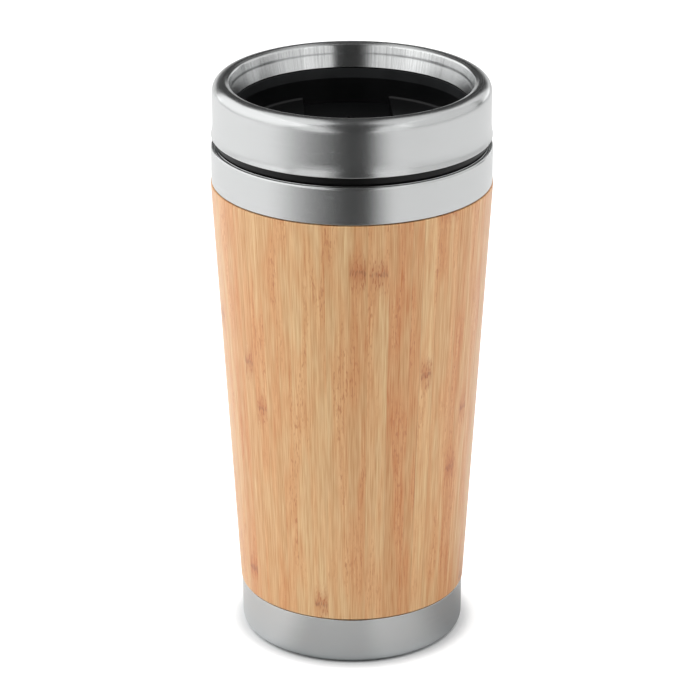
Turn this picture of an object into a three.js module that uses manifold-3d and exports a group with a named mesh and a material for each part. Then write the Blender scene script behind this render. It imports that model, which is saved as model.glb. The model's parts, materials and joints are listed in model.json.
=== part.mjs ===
// A double-walled travel tumbler: a steel liner hangs inside a steel shell that wears a bamboo sleeve,
// and a screw lid with a sliding drinking closure sits on the rolled rim.
// Millimetres, +Z up. The origin is the middle of the underside, and the drinking side faces -Y.

import * as THREE from 'three';
import { mergeVertices } from 'three/addons/utils/BufferGeometryUtils.js';
import Module from 'manifold-3d';

const wasm = await Module();
wasm.setup();

// Roundness
const SEGMENTS = 40; // flats round a turned piece
const EDGE_STEPS = 4; // flats across a rounded edge
const SLOT_STEPS = 6; // flats in the round end of a slot or arc
const WELD_DISTANCE = 1e-4; // vertices closer than this are one

// Fits
const GLUE_GAP = 0.3; // between pieces that are glued, pressed or seated
const RUNNING_GAP = 0.4; // between pieces that move past each other
const SEAL_GAP = 0.1; // between a soft seal and what it closes
const SHEET = 0.5; // thickness of every steel sheet

// Outside of the body
const BASE_RADIUS = 33.1; // the body's cone, at the floor
const TOP_RADIUS = 41.5; // steel band under the lid
const RIM_HEIGHT = 154.9; // floor to the top of the rolled rim
const BASE_HEIGHT = 14.7; // steel cup at the bottom
const BASE_DRAFT = 0.1; // its wall narrows by this toward the floor
const BASE_EDGE = 2.5; // rounding of its lower edge
const FOOT_WIDTH = 7.0; // flat ring that it stands on, with its rounding
const FOOT_RISE = 1.6; // the floor inside that ring stands this much higher
const BAND_HEIGHT = 11.2; // steel band, counted from the rim
const BAND_EDGE = 0.2; // inside rounding of its upper edge
const BAND_FLANGE = 0.2; // flat of its turned-in top, which meets the rolled rim
const SEAM = 0.3; // open joint at each end of the bamboo
const SLEEVE_WALL = 3.0;
const SLEEVE_PROUD = 0.25; // bamboo stands out past the steel
const SLEEVE_EDGE = 0.3; // bevel at each end of the bamboo

// Liner
const AIR_GAP = 2.0; // between the two steel walls
const FLOOR_GAP = 4.4; // between the two steel floors
const LINER_FILLET = 5.0;
const NECK_DEPTH = 14.4; // straight neck, counted from the rim
const NECK_GAP = 0.8; // between the neck and the shell
const NECK_SHOULDER = 2.5; // height over which the neck narrows to the wall

// Screw thread of the lid in the neck
const THREAD_STARTS = 2;
const THREAD_LEAD = 9.0; // rise in one whole turn
const THREAD_DEPTH = 1.0;
const THREAD_SWEEP = THREE.MathUtils.degToRad(160);
const THREAD_STAGGER = THREE.MathUtils.degToRad(20); // the neck's beads start this much later
const THREAD_STEPS = 18;
const THREAD_ROOT = 2.2; // width at the foot of the ridge
const THREAD_CREST = 1.0; // width at its top
const THREAD_LIFT = 1.9; // lid's ridge starts this far above the plug's end
const THREAD_SINK = 0.3; // foot sunk into its wall

// Lid moulding
const LID_YAW = THREE.MathUtils.degToRad(3.3); // where the closed lid comes to rest
const LID_WALL = 1.8;
const LID_GAP = 0.4; // dark line between the rim and the lid
const FLANGE_HEIGHT = 2.3;
const FLANGE_BEVEL = 0.3;
const PLUG_DEPTH = 12.8; // plug below the flange
const PLUG_BEVEL = 0.7;
const DECK_RISE = 2.7; // raised sides of the deck above the flange's underside
const DECK_FILLET = 0.8;
const LID_FLOOR = 2.0;
const BOWL_BEVEL = 0.25; // sloping top of the bowl's wall, measured inward
const BOWL_BEVEL_DROP = 2.9;
const GASKET_WIDTH = 3.8;
const GASKET_THICKNESS = 1.5;

// Steel ring round the lid
const RING_INSET = 0.5; // its wall stands inside the band's radius
const RING_LIFT = 2.4; // its lip above the flange's underside
const RING_HEIGHT = 16.6;
const RING_SHOULDER = 3.5; // rounding from its wall to its top
const RING_WIDTH = 5.0; // across its top
const RING_BORE_DEPTH = 7.2; // its inner wall
const RING_BORE_LEAN = 1.6; // its inner wall narrows downward
const RING_BORE_EDGE = 0.6; // softened edge between its top and its inner wall
const RING_CURL = 2.5; // depth of the curled upper part of its inner wall
const RING_CURL_LEAN = 0.55;
const LIP_FLARE = 0.5;
const LIP_HEIGHT = 3.4;
const LIP_EDGE = 0.25;

// Slider and its track
const TRACK_WIDTH = 26.0;
const TRACK_DEPTH = 2.0;
const RAIL_DEPTH = 1.2; // groove in each side of the track
const RAIL_HEIGHT = 1.2;
const SLIDER_LENGTH = 21.0;
const SLIDER_TRAVEL = 13.5;
const SLIDER_RISE = 0.3; // its top above the deck
const TONGUE_INSET = 3.4; // tongues stop short of the slider's front
const GRIP_WIDTH = 16.0;
const GRIP_DEPTH = 4.0;
const GRIP_HEIGHT = 2.4;
const GRIP_INSET = 1.2; // from the slider's back edge
const SLOT_INSET = 5.6; // drinking opening, from the bowl's wall
const SLOT_LENGTH = 8.0; // front to back
const SLOT_MARGIN = 3.0; // from each side of the track
const SEAL_LAP = 1.5; // pad covers this much round the opening
const SEAL_THICKNESS = 0.85;
const VENT_RADIUS = 0.9;
const VENT_DISTANCE = 18.8; // behind the lid's middle
const VENT_BOSS = 0.8; // raised ring round the vent: its width
const VENT_BOSS_HEIGHT = 0.4;

// Heights that several pieces share
const bandBottom = RIM_HEIGHT - BAND_HEIGHT;
const neckBottom = RIM_HEIGHT - NECK_DEPTH;
const linerFloor = FOOT_RISE + SHEET + FLOOR_GAP;
const flangeBottom = RIM_HEIGHT + LID_GAP;
const flangeTop = flangeBottom + FLANGE_HEIGHT;
const deckTop = flangeBottom + DECK_RISE;
const trackFloor = deckTop - TRACK_DEPTH;
const lidUnderside = trackFloor - LID_FLOOR;
const plugBottom = flangeBottom - PLUG_DEPTH;
const lipBottom = flangeBottom + RING_LIFT;
const ringTop = lipBottom + RING_HEIGHT;
const ringShoulder = ringTop - RING_SHOULDER;
const boreBottom = ringTop - RING_BORE_DEPTH;

// Radii that several pieces share: the body's walls nest inside one cone
const cone = (z) => BASE_RADIUS + ((TOP_RADIUS - BASE_RADIUS) * z) / bandBottom;
const sleeveOuter = (z) => cone(z) + SLEEVE_PROUD;
const sleeveInner = (z) => sleeveOuter(z) - SLEEVE_WALL;
const shellOuter = (z) => sleeveInner(z) - GLUE_GAP;
const shellInner = (z) => shellOuter(z) - SHEET;
const linerOuter = (z) => shellInner(z) - AIR_GAP;
const linerInner = (z) => linerOuter(z) - SHEET;
const neckOuter = shellInner(neckBottom) - NECK_GAP;
const neckInner = neckOuter - SHEET;
const ridgeCrest = neckInner - RUNNING_GAP;
const plugRadius = ridgeCrest - THREAD_DEPTH;
const beadCrest = plugRadius + RUNNING_GAP;
const bandEdge = TOP_RADIUS - SHEET - BAND_EDGE;
const bandMouth = bandEdge - BAND_FLANGE;
const ringWall = TOP_RADIUS - RING_INSET;
const ringBore = ringWall - RING_WIDTH;
const flangeRadius = ringWall - SHEET - GLUE_GAP;
const bowlMouth = ringBore - RING_BORE_LEAN;
const bowlRadius = bowlMouth - BOWL_BEVEL;
const gasketInner = plugRadius + GLUE_GAP;
const gasketOuter = gasketInner + GASKET_WIDTH;
const gasketTop = RIM_HEIGHT + SEAL_GAP + GASKET_THICKNESS;

// Places along the slider's track, on the closed lid
const trackHalf = TRACK_WIDTH / 2;
const trackRadius = bowlRadius - GLUE_GAP;
const sliderHalf = trackHalf - RUNNING_GAP;
const sliderFront = trackRadius - RUNNING_GAP;
const sliderBack = SLIDER_LENGTH - sliderFront;
const slotHalf = trackHalf - SLOT_MARGIN;
const slotCentre = SLOT_INSET + SLOT_LENGTH / 2 - bowlRadius;

const point = (r, z) => new THREE.Vector2(r, z);

function arc(r, z, radius, fromDegrees, toDegrees) {
  const from = THREE.MathUtils.degToRad(fromDegrees);
  const to = THREE.MathUtils.degToRad(toDegrees);
  const curve = new THREE.EllipseCurve(r, z, radius, radius, from, to, toDegrees < fromDegrees);
  return curve.getPoints(EDGE_STEPS);
}

// Shared vertices joined and triangles without area dropped, as a closed body needs
function welded(geometry) {
  geometry.deleteAttribute('normal');
  geometry.deleteAttribute('uv');
  const merged = mergeVertices(geometry, WELD_DISTANCE);
  const corners = merged.index.array;
  const kept = [];
  for (let i = 0; i < corners.length; i += 3) {
    const [a, b, c] = corners.slice(i, i + 3);
    if (a !== b && b !== c && c !== a) {
      kept.push(a, b, c);
    }
  }
  merged.setIndex(kept);
  return merged;
}

// A piece turned about Z from a profile of (radius, height), given counter-clockwise
function turned(profile) {
  return welded(new THREE.LatheGeometry(profile, SEGMENTS).rotateX(Math.PI / 2));
}

// The same for a profile that closes on itself away from the axis
function turnedRing(profile) {
  return turned([...profile, profile[0].clone()]);
}

// A flat shape raised from one height to another
function raised(shape, bottom, top) {
  const options = { depth: top - bottom, bevelEnabled: false, curveSegments: SLOT_STEPS };
  return welded(new THREE.ExtrudeGeometry(shape, options).translate(0, 0, bottom));
}

function rectangle(left, front, right, back) {
  const corners = [point(left, front), point(right, front), point(right, back), point(left, back)];
  return new THREE.Shape(corners);
}

function disc(x, y, radius) {
  return new THREE.Shape().absarc(x, y, radius, 0, 2 * Math.PI);
}

// A rectangle with half-round ends, lying along X
function stadium(y, halfWidth, length) {
  const radius = length / 2;
  const shape = new THREE.Shape();
  shape.absarc(halfWidth - radius, y, radius, -Math.PI / 2, Math.PI / 2);
  shape.absarc(radius - halfWidth, y, radius, Math.PI / 2, (3 * Math.PI) / 2);
  return shape;
}

function solid(geometry) {
  const vertProperties = new Float32Array(geometry.attributes.position.array);
  const triVerts = new Uint32Array(geometry.index.array);
  return new wasm.Manifold(new wasm.Mesh({ numProp: 3, vertProperties, triVerts }));
}

function geometryOf(body) {
  const mesh = body.getMesh();
  const geometry = new THREE.BufferGeometry();
  geometry.setAttribute('position', new THREE.BufferAttribute(mesh.vertProperties, 3));
  geometry.setIndex(Array.from(mesh.triVerts));
  return geometry;
}

// A ridge of trapezoid section that climbs a right-hand helix, from foot radius to crest radius
function helicalRidge(foot, crest, startAngle, startHeight) {
  const section = [
    point(foot, -THREAD_ROOT / 2),
    point(crest, -THREAD_CREST / 2),
    point(crest, THREAD_CREST / 2),
    point(foot, THREAD_ROOT / 2),
  ];
  const count = section.length;
  const positions = [];
  const corners = [];
  for (let step = 0; step <= THREAD_STEPS; step += 1) {
    const turn = (THREAD_SWEEP * step) / THREAD_STEPS;
    const angle = startAngle + turn;
    const height = startHeight + (THREAD_LEAD * turn) / (2 * Math.PI);
    for (const { x: radius, y: offset } of section) {
      positions.push(radius * Math.cos(angle), radius * Math.sin(angle), height + offset);
    }
  }
  const side = crest > foot ? 1 : -1;
  const face = (a, b, c) => corners.push(...(side > 0 ? [a, b, c] : [a, c, b]));
  for (let step = 0; step < THREAD_STEPS; step += 1) {
    for (let k = 0; k < count; k += 1) {
      const here = step * count + k;
      const next = step * count + ((k + 1) % count);
      face(here, next + count, next);
      face(here, here + count, next + count);
    }
  }
  const last = THREAD_STEPS * count;
  for (let k = 1; k + 1 < count; k += 1) {
    face(0, k, k + 1);
    face(last, last + k + 1, last + k);
  }
  const geometry = new THREE.BufferGeometry();
  geometry.setAttribute('position', new THREE.Float32BufferAttribute(positions, 3));
  geometry.setIndex(corners);
  return geometry;
}

// Both starts of a thread, spread evenly round the axis
function thread(foot, crest, startAngle, startHeight) {
  const starts = Array.from({ length: THREAD_STARTS }, (_, start) => {
    const angle = startAngle + (start * 2 * Math.PI) / THREAD_STARTS;
    return solid(helicalRidge(foot, crest, angle, startHeight));
  });
  return starts.reduce((all, ridge) => all.add(ridge));
}

// Steel cup at the bottom: a foot ring, a raised floor, a wall and a turned-in top that carries the bamboo
function baseCup() {
  const wallTop = cone(BASE_HEIGHT);
  const wallFoot = wallTop - BASE_DRAFT;
  const edgeRadius = wallFoot - BASE_EDGE;
  const footInner = wallFoot - FOOT_WIDTH;
  const riserInner = footInner - FOOT_RISE;
  const innerEdge = BASE_EDGE - SHEET;
  return turned([
    point(0, FOOT_RISE),
    point(riserInner, FOOT_RISE),
    point(footInner, 0),
    ...arc(edgeRadius, BASE_EDGE, BASE_EDGE, -90, 0),
    point(wallTop, BASE_HEIGHT),
    point(sleeveInner(BASE_HEIGHT), BASE_HEIGHT),
    point(sleeveInner(BASE_HEIGHT), BASE_HEIGHT - SHEET),
    point(wallTop - SHEET, BASE_HEIGHT - SHEET),
    ...arc(edgeRadius, BASE_EDGE, innerEdge, 0, -90),
    point(footInner + SHEET / 2, SHEET),
    point(riserInner + SHEET / 2, FOOT_RISE + SHEET),
    point(0, FOOT_RISE + SHEET),
  ]);
}

function bambooSleeve() {
  const bottom = BASE_HEIGHT + SEAM;
  const top = bandBottom - SEAM;
  return turnedRing([
    point(sleeveInner(bottom), bottom),
    point(sleeveOuter(bottom) - SLEEVE_EDGE, bottom),
    point(sleeveOuter(bottom + SLEEVE_EDGE), bottom + SLEEVE_EDGE),
    point(sleeveOuter(top - SLEEVE_EDGE), top - SLEEVE_EDGE),
    point(sleeveOuter(top) - SLEEVE_EDGE, top),
    point(sleeveInner(top), top),
  ]);
}

// Second wall, behind the bamboo: it stands in the base cup and flares into the band above the bamboo
function outerShell() {
  const bottom = SHEET + GLUE_GAP;
  const shelf = bandBottom + SHEET;
  const flare = TOP_RADIUS - SHEET - GLUE_GAP;
  const top = RIM_HEIGHT - SHEET - GLUE_GAP;
  return turnedRing([
    point(shellInner(bottom), bottom),
    point(shellOuter(bottom), bottom),
    point(shellOuter(bandBottom), bandBottom),
    point(flare, bandBottom),
    point(flare, top),
    point(flare - SHEET, top),
    point(flare - SHEET, shelf),
    point(shellInner(shelf), shelf),
  ]);
}

// Steel band over the shell's flare, turned in at the top to meet the rolled rim
function topCollar() {
  const edgeHeight = RIM_HEIGHT - SHEET - BAND_EDGE;
  return turnedRing([
    point(TOP_RADIUS - SHEET, bandBottom),
    point(TOP_RADIUS, bandBottom),
    ...arc(bandEdge, edgeHeight, BAND_EDGE + SHEET, 0, 90),
    point(bandMouth, RIM_HEIGHT),
    point(bandMouth, RIM_HEIGHT - SHEET),
    ...arc(bandEdge, edgeHeight, BAND_EDGE, 90, 0),
  ]);
}

// Cup that holds the drink: rolled rim, threaded neck, tapered wall and rounded floor
function innerLiner() {
  const shoulder = neckBottom - NECK_SHOULDER;
  const filletTop = linerFloor + LINER_FILLET;
  const filletRadius = linerOuter(filletTop) - LINER_FILLET;
  const rimEdge = bandMouth - GLUE_GAP;
  const cup = turned([
    point(0, linerFloor),
    ...arc(filletRadius, filletTop, LINER_FILLET, -90, 0),
    point(linerOuter(shoulder), shoulder),
    point(neckOuter, neckBottom),
    point(neckOuter, RIM_HEIGHT - SHEET),
    point(rimEdge, RIM_HEIGHT - SHEET),
    point(rimEdge, RIM_HEIGHT),
    point(neckInner, RIM_HEIGHT),
    point(neckInner, neckBottom),
    point(linerInner(shoulder), shoulder),
    ...arc(filletRadius, filletTop, LINER_FILLET - SHEET, 0, -90),
    point(0, linerFloor + SHEET),
  ]);
  // The beads ride just above the closed lid's ridges, with the running gap between their flanks
  const flankSlope = (THREAD_ROOT - THREAD_CREST) / (2 * THREAD_DEPTH);
  const lift = THREAD_ROOT - flankSlope * (neckInner - plugRadius) + RUNNING_GAP;
  const stagger = (THREAD_LEAD * THREAD_STAGGER) / (2 * Math.PI);
  const start = plugBottom + THREAD_LIFT + lift + stagger;
  const beads = thread(neckInner + THREAD_SINK, beadCrest, LID_YAW + THREAD_STAGGER, start);
  return geometryOf(solid(cup).add(beads));
}

// Moulded lid: a bowl with the slider's track in its deck, an upstand inside the steel ring,
// a flange that covers the rim and a threaded plug
function lidBody() {
  const ledge = boreBottom - GLUE_GAP;
  const grooveTop = gasketTop + GLUE_GAP;
  const grooveOuter = gasketOuter + GLUE_GAP;
  const plugInner = plugRadius - LID_WALL;
  const moulding = turned([
    point(0, lidUnderside),
    point(plugInner, lidUnderside),
    point(plugInner, plugBottom),
    point(plugRadius - PLUG_BEVEL, plugBottom),
    point(plugRadius, plugBottom + PLUG_BEVEL),
    point(plugRadius, grooveTop),
    point(grooveOuter, grooveTop),
    point(grooveOuter, flangeBottom),
    point(flangeRadius - FLANGE_BEVEL, flangeBottom),
    point(flangeRadius, flangeBottom + FLANGE_BEVEL),
    point(flangeRadius, ringShoulder),
    point(flangeRadius - LID_WALL, ringShoulder),
    point(flangeRadius - LID_WALL, flangeTop),
    point(bowlRadius + LID_WALL, flangeTop),
    point(bowlRadius + LID_WALL, ledge),
    point(bowlMouth, ledge),
    point(bowlRadius, ledge - BOWL_BEVEL_DROP),
    point(bowlRadius, deckTop + DECK_FILLET),
    point(bowlRadius - DECK_FILLET, deckTop),
    point(0, deckTop),
  ]);
  const ridges = thread(plugRadius - THREAD_SINK, ridgeCrest, 0, plugBottom + THREAD_LIFT);
  return geometryOf(ventedDeck(solid(moulding).add(ridges)));
}

// Cuts the track, its rails, the drinking opening and the vent into the lid, and hollows the deck's underside
function ventedDeck(lid) {
  const above = deckTop + DECK_FILLET;
  const below = lidUnderside - LID_FLOOR;
  const railOuter = trackHalf + RAIL_DEPTH;
  const railFront = -Math.sqrt(trackRadius ** 2 - railOuter ** 2);
  const railBack = sliderBack + SLIDER_TRAVEL + RUNNING_GAP;
  const track = raised(trackOutline(trackHalf, trackRadius), trackFloor, above);
  const rails = raised(
    rectangle(-railOuter, railFront, railOuter, railBack),
    trackFloor,
    trackFloor + RAIL_HEIGHT,
  );
  const boss = raised(
    disc(0, VENT_DISTANCE, VENT_RADIUS + VENT_BOSS),
    trackFloor - LID_FLOOR / 2,
    trackFloor + VENT_BOSS_HEIGHT,
  );
  const vent = raised(disc(0, VENT_DISTANCE, VENT_RADIUS), below, above);
  const slot = raised(stadium(slotCentre, slotHalf, SLOT_LENGTH), below, above);
  const pocketInner = railOuter + LID_WALL;
  const pocketRadius = plugRadius - 2 * LID_WALL;
  const pocket = raised(segment(pocketInner, pocketRadius), below, deckTop - LID_FLOOR);
  const cut = lid.subtract(solid(track)).subtract(solid(rails)).add(solid(boss));
  const pierced = cut.subtract(solid(vent)).subtract(solid(slot));
  const mirrored = pocket.clone().rotateZ(Math.PI);
  return pierced.subtract(solid(pocket)).subtract(solid(mirrored));
}

// A strip along Y whose two ends follow the bowl's wall
function trackOutline(half, radius) {
  const corner = Math.asin(half / radius);
  const shape = new THREE.Shape();
  shape.absarc(0, 0, radius, -Math.PI / 2 - corner, -Math.PI / 2 + corner);
  shape.absarc(0, 0, radius, Math.PI / 2 - corner, Math.PI / 2 + corner);
  return shape;
}

// The piece of a disc that lies past a chord at x = inner
function segment(inner, radius) {
  const corner = Math.acos(inner / radius);
  return new THREE.Shape().absarc(0, 0, radius, -corner, corner);
}

function lidGasket() {
  return turnedRing([
    point(gasketInner, RIM_HEIGHT + SEAL_GAP),
    point(gasketOuter, RIM_HEIGHT + SEAL_GAP),
    point(gasketOuter, gasketTop),
    point(gasketInner, gasketTop),
  ]);
}

// Steel ring pressed over the lid's upstand: hemmed lip, wall, rounded shoulder, top and leaning inner wall
function lidTrimRing() {
  const crest = ringWall - RING_SHOULDER;
  const hem = flangeRadius + GLUE_GAP;
  const lip = ringWall + LIP_FLARE;
  const curlBottom = ringTop - RING_BORE_EDGE - RING_CURL;
  return turnedRing([
    point(hem, lipBottom),
    point(lip - LIP_EDGE, lipBottom),
    point(lip, lipBottom + LIP_EDGE),
    point(ringWall + LIP_FLARE / 4, lipBottom + LIP_HEIGHT / 2),
    point(ringWall, lipBottom + LIP_HEIGHT),
    ...arc(crest, ringShoulder, RING_SHOULDER, 0, 90),
    point(ringBore + RING_BORE_EDGE, ringTop - RING_BORE_EDGE / 4),
    point(ringBore, ringTop - RING_BORE_EDGE),
    point(ringBore - RING_CURL_LEAN, curlBottom),
    point(bowlMouth, boreBottom),
    point(bowlMouth + SHEET, boreBottom),
    point(ringBore - RING_CURL_LEAN + SHEET, curlBottom),
    point(ringBore + SHEET, ringTop - RING_BORE_EDGE - SHEET),
    ...arc(crest, ringShoulder, RING_SHOULDER - SHEET, 90, 0),
    point(ringWall - SHEET, lipBottom + LIP_HEIGHT),
    point(hem, lipBottom + SHEET),
  ]);
}

// Slider: a plate that fits the track's round front, two tongues in the rails and a rounded thumb grip
function lidSlider() {
  const bottom = trackFloor + GLUE_GAP;
  const top = deckTop + SLIDER_RISE;
  const tongueHalf = trackHalf + RAIL_DEPTH - RUNNING_GAP;
  const tongueTop = trackFloor + RAIL_HEIGHT - GLUE_GAP;
  const plate = raised(sliderOutline(), bottom, top);
  const tongues = raised(
    rectangle(-tongueHalf, TONGUE_INSET - sliderFront, tongueHalf, sliderBack),
    bottom,
    tongueTop,
  );
  const pocketHalf = slotHalf + SEAL_LAP + GLUE_GAP;
  const pocketLength = SLOT_LENGTH + 2 * (SEAL_LAP + GLUE_GAP);
  const pocketTop = trackFloor + SEAL_GAP + SEAL_THICKNESS + GLUE_GAP;
  const pocket = raised(stadium(slotCentre, pocketHalf, pocketLength), trackFloor, pocketTop);
  const body = solid(plate).add(solid(tongues)).add(solid(thumbGrip(top)));
  return geometryOf(body.subtract(solid(pocket)));
}

function sliderOutline() {
  const corner = Math.asin(sliderHalf / sliderFront);
  const shape = new THREE.Shape();
  shape.absarc(0, 0, sliderFront, -Math.PI / 2 - corner, -Math.PI / 2 + corner);
  shape.lineTo(sliderHalf, sliderBack);
  shape.lineTo(-sliderHalf, sliderBack);
  return shape;
}

// A half-round bar across the slider, near its back edge
function thumbGrip(bottom) {
  const middle = sliderBack - GRIP_INSET - GRIP_DEPTH / 2;
  const section = new THREE.Shape();
  section.moveTo(middle - GRIP_DEPTH / 2, bottom - GLUE_GAP);
  section.lineTo(middle + GRIP_DEPTH / 2, bottom - GLUE_GAP);
  section.absellipse(middle, bottom, GRIP_DEPTH / 2, GRIP_HEIGHT, 0, Math.PI);
  const options = { depth: GRIP_WIDTH, bevelEnabled: false, curveSegments: SLOT_STEPS };
  const bar = new THREE.ExtrudeGeometry(section, options).translate(0, 0, -GRIP_WIDTH / 2);
  const alongX = new THREE.Matrix4().makeBasis(
    new THREE.Vector3(0, 1, 0),
    new THREE.Vector3(0, 0, 1),
    new THREE.Vector3(1, 0, 0),
  );
  return welded(bar.applyMatrix4(alongX));
}

function sliderSeal() {
  const bottom = trackFloor + SEAL_GAP;
  const pad = stadium(slotCentre, slotHalf + SEAL_LAP, SLOT_LENGTH + 2 * SEAL_LAP);
  return raised(pad, bottom, bottom + SEAL_THICKNESS);
}

const steel = { color: 0xc6c8c9, roughness: 0.32, metalness: 1.0 };
const bamboo = { color: 0xc69468, roughness: 0.55, metalness: 0.0 };
const blackPlastic = { color: 0x1c1d1f, roughness: 0.45, metalness: 0.0 };
const blackSilicone = { color: 0x141516, roughness: 0.7, metalness: 0.0 };

function piece(name, geometry, finish) {
  geometry.computeVertexNormals();
  const mesh = new THREE.Mesh(geometry, new THREE.MeshStandardMaterial(finish));
  mesh.name = name;
  return mesh;
}

const cup = new THREE.Group();
cup.add(piece('inner_liner', innerLiner(), steel));
cup.add(piece('outer_shell', outerShell(), steel));
cup.add(piece('top_collar', topCollar(), steel));
cup.add(piece('bamboo_sleeve', bambooSleeve(), bamboo));
cup.add(piece('base_cup', baseCup(), steel));

const lid = new THREE.Group();
lid.rotation.z = LID_YAW;
lid.add(piece('lid_gasket', lidGasket(), blackSilicone));
lid.add(piece('lid_body', lidBody(), blackPlastic));
lid.add(piece('lid_trim_ring', lidTrimRing(), steel));
lid.add(piece('lid_slider', lidSlider(), blackPlastic));
lid.add(piece('slider_seal', sliderSeal(), blackSilicone));

const tumbler = new THREE.Group();
tumbler.add(cup, lid);

export default tumbler;
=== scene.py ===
"""Looks of a double-walled bamboo tumbler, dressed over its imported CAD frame.

Lengths are metres and +Z is up. Each round piece is a profile turned about Z, and each flat piece of the
lid is a loft of closed outlines. The main radii and heights are read from the frame's own nodes.
"""

import json
import logging
import math
from collections.abc import Sequence
from dataclasses import dataclass, field
from enum import Enum
from typing import Protocol

import bmesh
import bpy
import numpy as np
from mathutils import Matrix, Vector


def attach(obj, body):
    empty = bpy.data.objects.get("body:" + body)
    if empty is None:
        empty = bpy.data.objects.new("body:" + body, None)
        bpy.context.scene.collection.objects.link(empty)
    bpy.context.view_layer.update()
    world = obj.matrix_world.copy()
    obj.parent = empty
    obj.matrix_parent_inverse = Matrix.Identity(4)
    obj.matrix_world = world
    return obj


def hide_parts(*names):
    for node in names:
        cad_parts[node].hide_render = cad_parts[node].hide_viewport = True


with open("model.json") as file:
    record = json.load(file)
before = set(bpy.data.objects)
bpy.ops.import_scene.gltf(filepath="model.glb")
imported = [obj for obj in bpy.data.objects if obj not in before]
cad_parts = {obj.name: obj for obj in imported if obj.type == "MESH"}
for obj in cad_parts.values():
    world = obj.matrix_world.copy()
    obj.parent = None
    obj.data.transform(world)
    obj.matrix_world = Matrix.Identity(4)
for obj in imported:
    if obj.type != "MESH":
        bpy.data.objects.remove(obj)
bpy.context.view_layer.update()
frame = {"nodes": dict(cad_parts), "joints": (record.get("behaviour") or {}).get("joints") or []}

LOG = logging.getLogger("tumbler")
IMAGE_PIXELS = 700
MM = 0.001
COLUMNS = 240
OUTLINE_STEPS = 192
CORNER_STEPS = 7
CORNER_ROOM = 0.95
SUPPORT = 0.25
SUPPORT_ROOM = 0.3
BEVEL_BEND = 0.3
GRIP_STEPS = 48
DECK_STEPS = 90
EASE_STEPS = 5
FILLET_STEPS = 6
FILLET_TURN = math.radians(80)
PICK_MARGIN = 0.02 * MM
MERGE_DISTANCE = 1e-7
SHARP_ANGLE = math.radians(38)
UV_NAME = "surface_place"
QUAD_CORNERS = ((0, 0), (0, 1), (1, 1), (1, 0))

Array = np.ndarray
Colour = tuple[float, float, float]
Socket = bpy.types.NodeSocket


class Slot(Enum):
    """Finishes that the part's record names."""

    STEEL = "brushed_steel"
    BAMBOO = "bamboo"
    PLASTIC = "black_plastic"
    SILICONE = "black_silicone"


class Body(Enum):
    """Bodies of the part that move as one."""

    CUP = "cup"
    GASKET = "gasket"
    LID = "lid"
    SLIDER = "slider"


def srgb(red: int, green: int, blue: int) -> Colour:
    """Turns a screen colour into the linear colour that shaders take.

    Args:
        red: red part, 0 to 255.
        green: green part, 0 to 255.
        blue: blue part, 0 to 255.

    Returns:
        The linear colour, each part from 0 to 1.
    """
    parts = np.array([red, green, blue]) / 255.0
    linear = np.where(parts <= 0.04045, parts / 12.92, ((parts + 0.055) / 1.055) ** 2.4)
    return tuple(float(part) for part in linear)


@dataclass(frozen=True)
class Span:
    """Reach of a round CAD node: its outer and inner radius and its lowest and highest points."""

    radius: float
    inner: float
    bottom: float
    top: float

    @classmethod
    def of(cls, node: str) -> "Span":
        """Measures one node of the frame.

        Args:
            node: the node's name.

        Returns:
            Its reach about Z.
        """
        mesh = frame["nodes"][node].data
        places = np.empty(len(mesh.vertices) * 3, dtype=np.float32)
        mesh.vertices.foreach_get("co", places)
        x, y, z = places.reshape(-1, 3).astype(float).T
        away = np.hypot(x, y)
        return cls(float(away.max()), float(away.min()), float(z.min()), float(z.max()))


@dataclass(frozen=True)
class Taper:
    """The cone that the body's walls follow, through the tops of the base and of the bamboo."""

    low: tuple[float, float]
    high: tuple[float, float]

    def radius(self, height: float) -> float:
        """Radius at a height: a straight line through the two known circles."""
        share = (height - self.low[1]) / (self.high[1] - self.low[1])
        return self.low[0] + share * (self.high[0] - self.low[0])


@dataclass(frozen=True)
class Patch:
    """A grid of quads that closes on itself where it wraps.

    Attributes:
        points: places of the grid, (rows, columns, 3).
        uv: texture place of each corner, with one more row and column than the points.
        wrap_rows: whether the last row joins the first.
        row_finish: which of the piece's finishes each row of quads has, or None for the first.
    """

    points: Array
    uv: Array
    wrap_rows: bool = False
    row_finish: Array | None = None

    def faces(self) -> tuple[Array, Array, Array]:
        """Makes the quads, wound so that the enclosed volume is positive.

        Returns:
            The quads, the texture places of their corners, and the number of each quad's finish.
        """
        rows, columns = self.points.shape[:2]
        down = np.arange(rows if self.wrap_rows else rows - 1)[:, None]
        across = np.arange(columns)[None, :]
        quads = np.stack(
            [((down + i) % rows) * columns + (across + j) % columns for i, j in QUAD_CORNERS], -1
        ).reshape(-1, 4)
        places = np.stack([self.uv[down + i, across + j] for i, j in QUAD_CORNERS], -2).reshape(-1, 4, 2)
        finish = np.zeros(len(down), int) if self.row_finish is None else self.row_finish[: len(down)]
        a, b, c, d = np.moveaxis(self.points.reshape(-1, 3)[quads], 1, 0)
        volume = np.einsum("ij,ij", a, np.cross(b, c) + np.cross(c, d))
        if volume < 0:
            quads = quads[:, ::-1]
            places = places[:, ::-1]
        return quads, places, np.repeat(finish, columns)


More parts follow.
